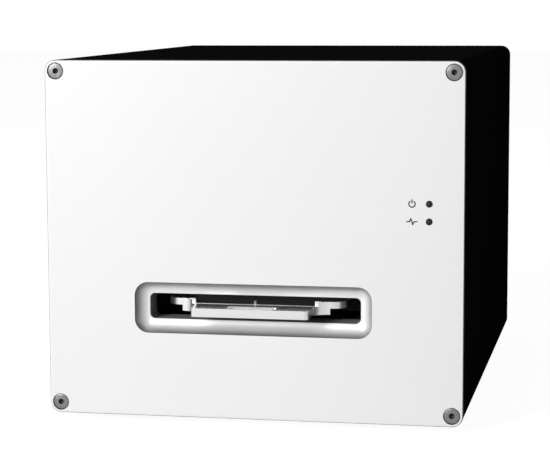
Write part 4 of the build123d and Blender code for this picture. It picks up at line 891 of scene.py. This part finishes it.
class SCANNER_OT_indicators(bpy.types.Operator):
    """Make the two domed indicator lamps"""
    bl_idname = "scanner.indicators"
    bl_label = "Indicators"

    def execute(self, context):
        shape = bmesh.new()
        lead_y = PANEL_HIGH.y - LEAD_SIZE[1] / 2
        for z in INDICATOR_HEIGHTS:
            place = facing((INDICATOR_X, INDICATOR_LOW.y, z), FRONTWARD)
            turned(shape, LAMP_PROFILE, place, steps=32)
            for side in (-1, 1):
                lead = bmesh.ops.create_cube(shape, size=1.0)["verts"]
                lead_place = (INDICATOR_X + side * LEAD_OFFSET, lead_y, z)
                bmesh.ops.scale(shape, vec=LEAD_SIZE, verts=lead)
                bmesh.ops.translate(shape, vec=lead_place, verts=lead)
                for face in {face for vert in lead for face in vert.link_faces}:
                    face.material_index = 1
        add_piece(
            shape, "indicator_lamps", "chassis", ("indicator_lens", "ground_steel"),
            ("indicator_leds",),
        )
        return {"FINISHED"}


# ---------------------------------------------------------------- printed marks
MARKS_OFFSET = 7.6 * MM
MARKS_LIFT = 0.02 * MM
# Rings: inner and outer radius in millimetres, start and end angle in degrees, steps.
POWER_RING = (1.15, 1.68, 122, 418, 24)
OFF_RING = (0.95, 1.35, 0, 360, 28)
# Strokes: points across and up in millimetres.
POWER_STROKE = [(0, 0.5), (0, 1.75)]
PULSE = [(-2.2, 0), (-1.1, 0), (-0.5, 1.35), (0.35, -1.25), (0.95, 0), (2.2, 0)]
ON_STROKE = [(0, -1.1), (0, 0), (0, 1.1)]


def flat_ring(shape, centre, inner, outer, start, end, steps):
    """Part of a flat upright ring; radii in millimetres, angles in degrees."""
    x, y, z = centre
    angle = math.radians(start)
    low, high = (
        shape.verts.new((x + radius * MM * math.cos(angle), y, z + radius * MM * math.sin(angle)))
        for radius in (inner, outer)
    )
    edge = shape.edges.new((low, high))
    bmesh.ops.spin(
        shape, geom=[low, high, edge], axis=FRONTWARD, cent=centre, steps=steps,
        angle=math.radians(end - start), use_merge=False,
    )


def flat_stroke(shape, centre, points, width):
    """Flat upright line along points given round a centre, in millimetres."""
    x, y, z = centre
    places = [Vector((x + across * MM, y, z + up * MM)) for across, up in points]
    for start, end in zip(places, places[1:]):
        tail = (end - start).normalized() * width * MM / 2
        across = tail.cross(REARWARD)
        first = start - tail
        last = end + tail
        corners = [first - across, last - across, last + across, first + across]
        shape.faces.new([shape.verts.new(corner) for corner in corners])


def thicken(shape, outward, thickness):
    """Gives a flat print a little thickness, sunk into what it lies on."""
    bmesh.ops.remove_doubles(shape, verts=shape.verts, dist=TOUCHING)
    for face in shape.faces:
        face.normal_update()
        if face.normal.dot(outward) < 0:
            face.normal_flip()
    bmesh.ops.solidify(shape, geom=shape.faces, thickness=thickness)
    bmesh.ops.recalc_face_normals(shape, faces=shape.faces)


class SCANNER_OT_printed_marks(bpy.types.Operator):
    """Make the small printed pictograms beside the indicators"""
    bl_idname = "scanner.printed_marks"
    bl_label = "Printed Marks"

    def execute(self, context):
        shape = bmesh.new()
        upper, lower = [
            (INDICATOR_X - MARKS_OFFSET, FACE_Y - MARKS_LIFT, z) for z in INDICATOR_HEIGHTS
        ]
        flat_ring(shape, upper, *POWER_RING)
        flat_stroke(shape, upper, POWER_STROKE, 0.53)
        flat_stroke(shape, lower, PULSE, 0.5)
        thicken(shape, FRONTWARD, 0.03 * MM)
        add_piece(shape, "printed_marks", "chassis", ("print_ink",))
        return {"FINISHED"}


def lay_on(shape, node, outward, lift):
    """Moves a flat print back along outward until it lies on a carried-over piece."""
    surface = bmesh.new()
    surface.from_mesh(NODES[node].data)
    surface.transform(NODES[node].matrix_world)
    tree = BVHTree.FromBMesh(surface)
    for vert in shape.verts:
        hit, normal, _, _ = tree.ray_cast(vert.co, -outward)
        vert.co = hit + normal * lift
    surface.free()


class SCANNER_OT_switch_marks(bpy.types.Operator):
    """Make the on and off marks of the power switch"""
    bl_idname = "scanner.switch_marks"
    bl_label = "Switch Marks"

    def execute(self, context):
        low, high = span("power_rocker")
        height = high.z - low.z
        x = (low.x + high.x) / 2
        clear_y = high.y + 5.0 * MM
        shape = bmesh.new()
        on_place = (x, clear_y, high.z - 0.27 * height)
        off_place = (x, clear_y, low.z + 0.25 * height)
        flat_stroke(shape, on_place, ON_STROKE, 0.45)
        flat_ring(shape, off_place, *OFF_RING)
        lay_on(shape, "power_rocker", REARWARD, 0.03 * MM)
        thicken(shape, REARWARD, 0.04 * MM)
        body = NODES["power_rocker"]["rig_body"]
        add_piece(shape, "switch_marks", body, ("mark_ink",))
        return {"FINISHED"}


# ---------------------------------------------------------------- feet
FOOT_PROFILE = [
    (2.1, 4.0), (7.7, 4.0), (8.0, 3.7), (8.0, 1.3), (7.9, 0.8), (7.6, 0.35), (7.1, 0.06),
    (6.7, 0.0), (5.2, 0.0), (4.9, 0.25), (4.4, 0.25), (4.1, 0.02), (3.8, 0.05), (3.65, 0.2),
    (3.65, 2.8), (2.1, 2.8), (2.1, 4.0),
]


class SCANNER_OT_feet(bpy.types.Operator):
    """Make the four rubber feet"""
    bl_idname = "scanner.feet"
    bl_label = "Feet"

    def execute(self, context):
        shape = bmesh.new()
        for x, y in FOOT_PLACES:
            turned(shape, FOOT_PROFILE, Matrix.Translation((x, y, 0)))
        add_piece(
            shape, "bumper_feet", "chassis", ("foot_rubber",), ("rubber_feet",)
        )
        return {"FINISHED"}


# ---------------------------------------------------------------- softened machined pieces
SPLIT_FIRST = ("slide_tray",)  # flats that run round an opening are split before the bevel
SOFT_EDGES = {  # how much each edge is broken, in millimetres
    "enclosure_tube": 0.15, "rear_panel": 0.3, "slot_liner": 0.2, "slide_tray": 0.07,
    "tray_bridge": 0.4, "usb_socket": 0.1, "power_jack": 0.15, "power_jack_nut": 0.25,
    "switch_housing": 0.2, "power_rocker": 0.15, "slide_stop_pin": 0.05, "tray_screws": 0.08,
    "base_plate": 0.4, "tray_rail_supports": 0.4, "stage_rails": 0.2, "tray_motor_bracket": 0.3,
    "tray_motor": 0.3, "screw_bearings": 0.3, "head_stage_base": 0.3, "head_motor_bracket": 0.3,
    "head_motor": 0.3, "home_sensors": 0.2, "main_board": 0.1, "board_chips": 0.12,
    "tray_bearing_blocks": 0.3, "tray_drive_nut": 0.3, "scan_frame": 0.5,
    "head_bearing_blocks": 0.3, "head_drive_nut": 0.3, "lamp_housing": 0.3, "mirror_block": 0.4,
    "lens_tube": 0.2, "tube_clamps": 0.4, "camera_housing": 0.5, "camera_back": 0.4,
    "focus_motor": 0.3, "focus_carriage": 0.3, "focus_bearing_block": 0.3, "focus_drive_nut": 0.3,
}
FLAT_ANGLE = math.radians(1.0)
SHARP_ANGLE = math.radians(28.0)
WELL_START = 9.0 * MM
WELL_HALF_WIDTH = 34.2 * MM
WELL_DROP = 0.4 * MM


def softened(node, width):
    """A copy of a carried-over piece with its sharp edges rounded."""
    shape = bmesh.new()
    shape.from_mesh(NODES[node].data)
    bmesh.ops.remove_doubles(shape, verts=shape.verts, dist=2 * TOUCHING)
    bmesh.ops.dissolve_limit(
        shape, angle_limit=FLAT_ANGLE, use_dissolve_boundaries=False, verts=shape.verts,
        edges=shape.edges,
    )
    if node in SPLIT_FIRST:
        bmesh.ops.connect_verts_concave(shape, faces=shape.faces)
    edges = [
        edge for edge in shape.edges if edge.is_manifold and edge.calc_face_angle(0) > SHARP_ANGLE
    ]
    bmesh.ops.bevel(
        shape, geom=edges, offset=width, offset_type="OFFSET", segments=2, profile=0.5,
        affect="EDGES", clamp_overlap=node not in SPLIT_FIRST, material=-1,
    )
    bmesh.ops.dissolve_degenerate(shape, dist=TOUCHING, edges=shape.edges)
    return shape


def blacken_well(shape):
    """Gives the tray's light well and the deck behind it a painted shade, darker than the rest of
    the tray.
    """
    for face in shape.faces:
        middle = face.calc_center_median()
        behind = middle.y > FACE_Y + WELL_START
        if behind and abs(middle.x) < WELL_HALF_WIDTH and middle.z < TRAY_HIGH.z - WELL_DROP:
            face.material_index = 1


class SCANNER_OT_softened_pieces(bpy.types.Operator):
    """Make the machined and moulded pieces with their edges broken"""
    bl_idname = "scanner.softened_pieces"
    bl_label = "Softened Pieces"

    def execute(self, context):
        for node, width in SOFT_EDGES.items():
            shape = softened(node, width * MM)
            key = NODE_FINISH[node]
            finishes = (key,)
            # painted shade: the well behind the tongue takes the second, darker finish
            if node == "slide_tray":
                blacken_well(shape)
                finishes = (key, "well_black")
            body = NODES[node]["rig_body"]
            add_piece(shape, node + "_edged", body, finishes, (node,))
        return {"FINISHED"}


# ---------------------------------------------------------------- stage
CAMERA_PLACE = Vector((172.36, -954.255, 192.49)) * MM
CAMERA_RIGHT = Vector((0.98134, 0.19224, -0.00385))
CAMERA_UP = Vector((-0.02025, 0.12325, 0.99217))
CAMERA_LENS = 124.32
SURROUNDINGS = 0.12
FLOOR_REACH = 6.0
FLOOR_FAINT = 0.25
FLOOR_GLOW = 0.95
SOFT_LAMPS = (  # name, place, target, size in metres, watts
    ("Key Light", (-1.00, -1.70, 0.72), (0, -0.1, 0.09), 0.7, 38.5),
    ("Top Light", (0.1, 0.1, 1.6), (0, 0, 0.05), 1.4, 2.0),
)


def soft_lamp(name, place, target, size, watts):
    """A square soft light aimed at a target."""
    data = bpy.data.lights.new(name, "AREA")
    data.shape = "SQUARE"
    data.size = size
    data.energy = watts
    lamp = put_in_scene(name, data)
    lamp.matrix_world = facing(place, Vector(target) - Vector(place), "-Z")


def set_camera():
    """The camera at the photograph's viewing angle."""
    data = bpy.data.cameras.new("Front View")
    data.lens = CAMERA_LENS
    data.sensor_width = 36.0
    data.clip_start = 0.01
    camera = put_in_scene("Front View", data)
    back = CAMERA_RIGHT.cross(CAMERA_UP)
    turn = Matrix((CAMERA_RIGHT, CAMERA_UP, back)).transposed().to_4x4()
    camera.matrix_world = Matrix.Translation(CAMERA_PLACE) @ turn
    bpy.context.scene.camera = camera


def emptied(owner):
    """The node tree of a world or material, with nothing in it."""
    owner.use_nodes = True
    owner.node_tree.nodes.clear()
    return owner.node_tree


def show_apart(tree, lighting, shown, output):
    """One shader for diffuse light, another for what the camera and glossy surfaces see."""
    path = add_node(tree, "ShaderNodeLightPath", (-620, 0)).outputs
    seen = arithmetic(tree, "MAXIMUM", (-420, 0), path["Is Camera Ray"], path["Is Glossy Ray"])
    seen = arithmetic(tree, "MAXIMUM", (-240, 0), seen, path["Is Transmission Ray"])
    mix = add_node(tree, "ShaderNodeMixShader", (400, 0))
    for value, socket in zip((seen, lighting.outputs[0], shown.outputs[0]), mix.inputs):
        tree.links.new(value, socket)
    out = add_node(tree, output, (600, 0))
    tree.links.new(mix.outputs[0], out.inputs["Surface"])


def light_world():
    """Even pale surroundings that show white."""
    world = bpy.data.worlds.new("Studio")
    bpy.context.scene.world = world
    tree = emptied(world)
    lit = add_node(tree, "ShaderNodeBackground", (0, 100))
    lit.inputs["Strength"].default_value = SURROUNDINGS
    shown = add_node(tree, "ShaderNodeBackground", (0, -60))
    shown.inputs["Color"].default_value = (1, 1, 1, 1)
    show_apart(tree, lit, shown, "ShaderNodeOutputWorld")


def floor_finish(base):
    """Pale floor that shows nearly white and still keeps a faint shadow."""
    material = bpy.data.materials.new("Studio Floor")
    tree = emptied(material)
    plain = add_node(tree, "ShaderNodeBsdfDiffuse", (0, 100))
    plain.inputs["Color"].default_value = (*base, 1)
    faint = add_node(tree, "ShaderNodeBsdfDiffuse", (0, -60))
    faint.inputs["Color"].default_value = (FLOOR_FAINT, FLOOR_FAINT, FLOOR_FAINT, 1)
    glow = add_node(tree, "ShaderNodeEmission", (0, -200))
    glow.inputs["Strength"].default_value = FLOOR_GLOW
    shown = add_node(tree, "ShaderNodeAddShader", (200, -120))
    tree.links.new(faint.outputs[0], shown.inputs[0])
    tree.links.new(glow.outputs[0], shown.inputs[1])
    show_apart(tree, plain, shown, "ShaderNodeOutputMaterial")
    return material


class SCANNER_OT_stage(bpy.types.Operator):
    """Set up the floor, the lights and the camera"""
    bl_idname = "scanner.stage"
    bl_label = "Stage"

    def execute(self, context):
        set_camera()
        light_world()
        for settings in SOFT_LAMPS:
            soft_lamp(*settings)
        mesh = bpy.data.meshes.new("floor")
        shape = bmesh.new()
        bmesh.ops.create_grid(shape, x_segments=2, y_segments=2, size=FLOOR_REACH)
        shape.to_mesh(mesh)
        shape.free()
        floor = put_in_scene("floor", mesh)
        mesh.materials.append(floor_finish(context.scene.scanner_colours.floor_pale))
        return {"FINISHED"}


# ---------------------------------------------------------------- panel and registration
OPERATORS = (
    SCANNER_OT_finishes, SCANNER_OT_stage, SCANNER_OT_front_panel, SCANNER_OT_panel_screws,
    SCANNER_OT_indicators, SCANNER_OT_printed_marks, SCANNER_OT_switch_marks, SCANNER_OT_feet,
    SCANNER_OT_softened_pieces,
)


class SCANNER_PT_looks(bpy.types.Panel):
    """Lists the steps that dress the scanner"""
    bl_label = "Slide Scanner"
    bl_idname = "SCANNER_PT_looks"
    bl_space_type = "VIEW_3D"
    bl_region_type = "UI"
    bl_category = "Scanner"

    def draw(self, context):
        layout = self.layout
        for settings in (context.scene.scanner_sizes, context.scene.scanner_colours):
            column = layout.column(align=True)
            for key in settings.__annotations__:
                column.prop(settings, key)
        for operator in OPERATORS:
            layout.operator(operator.bl_idname)


CLASSES = (ScannerSizes, ScannerColours, *OPERATORS, SCANNER_PT_looks)


def register():
    """Registers the classes and their settings."""
    for cls in CLASSES:
        bpy.utils.register_class(cls)
    bpy.types.Scene.scanner_sizes = PointerProperty(type=ScannerSizes)
    bpy.types.Scene.scanner_colours = PointerProperty(type=ScannerColours)


def unregister():
    """Removes the settings and the classes."""
    del bpy.types.Scene.scanner_colours
    del bpy.types.Scene.scanner_sizes
    for cls in reversed(CLASSES):
        bpy.utils.unregister_class(cls)


def corners(box):
    """A box's corners as plain lists."""
    return [list(corner) for corner in box]


def main():
    """Dresses the scanner."""
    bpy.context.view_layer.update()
    register()
    bpy.context.scene.view_settings.view_transform = "Standard"
    bpy.ops.scanner.finishes()
    bpy.ops.scanner.stage()
    bpy.ops.scanner.front_panel()
    bpy.ops.scanner.panel_screws()
    bpy.ops.scanner.indicators()
    bpy.ops.scanner.printed_marks()
    bpy.ops.scanner.switch_marks()
    bpy.ops.scanner.feet()
    bpy.ops.scanner.softened_pieces()


if __name__ == "__main__":
    main()
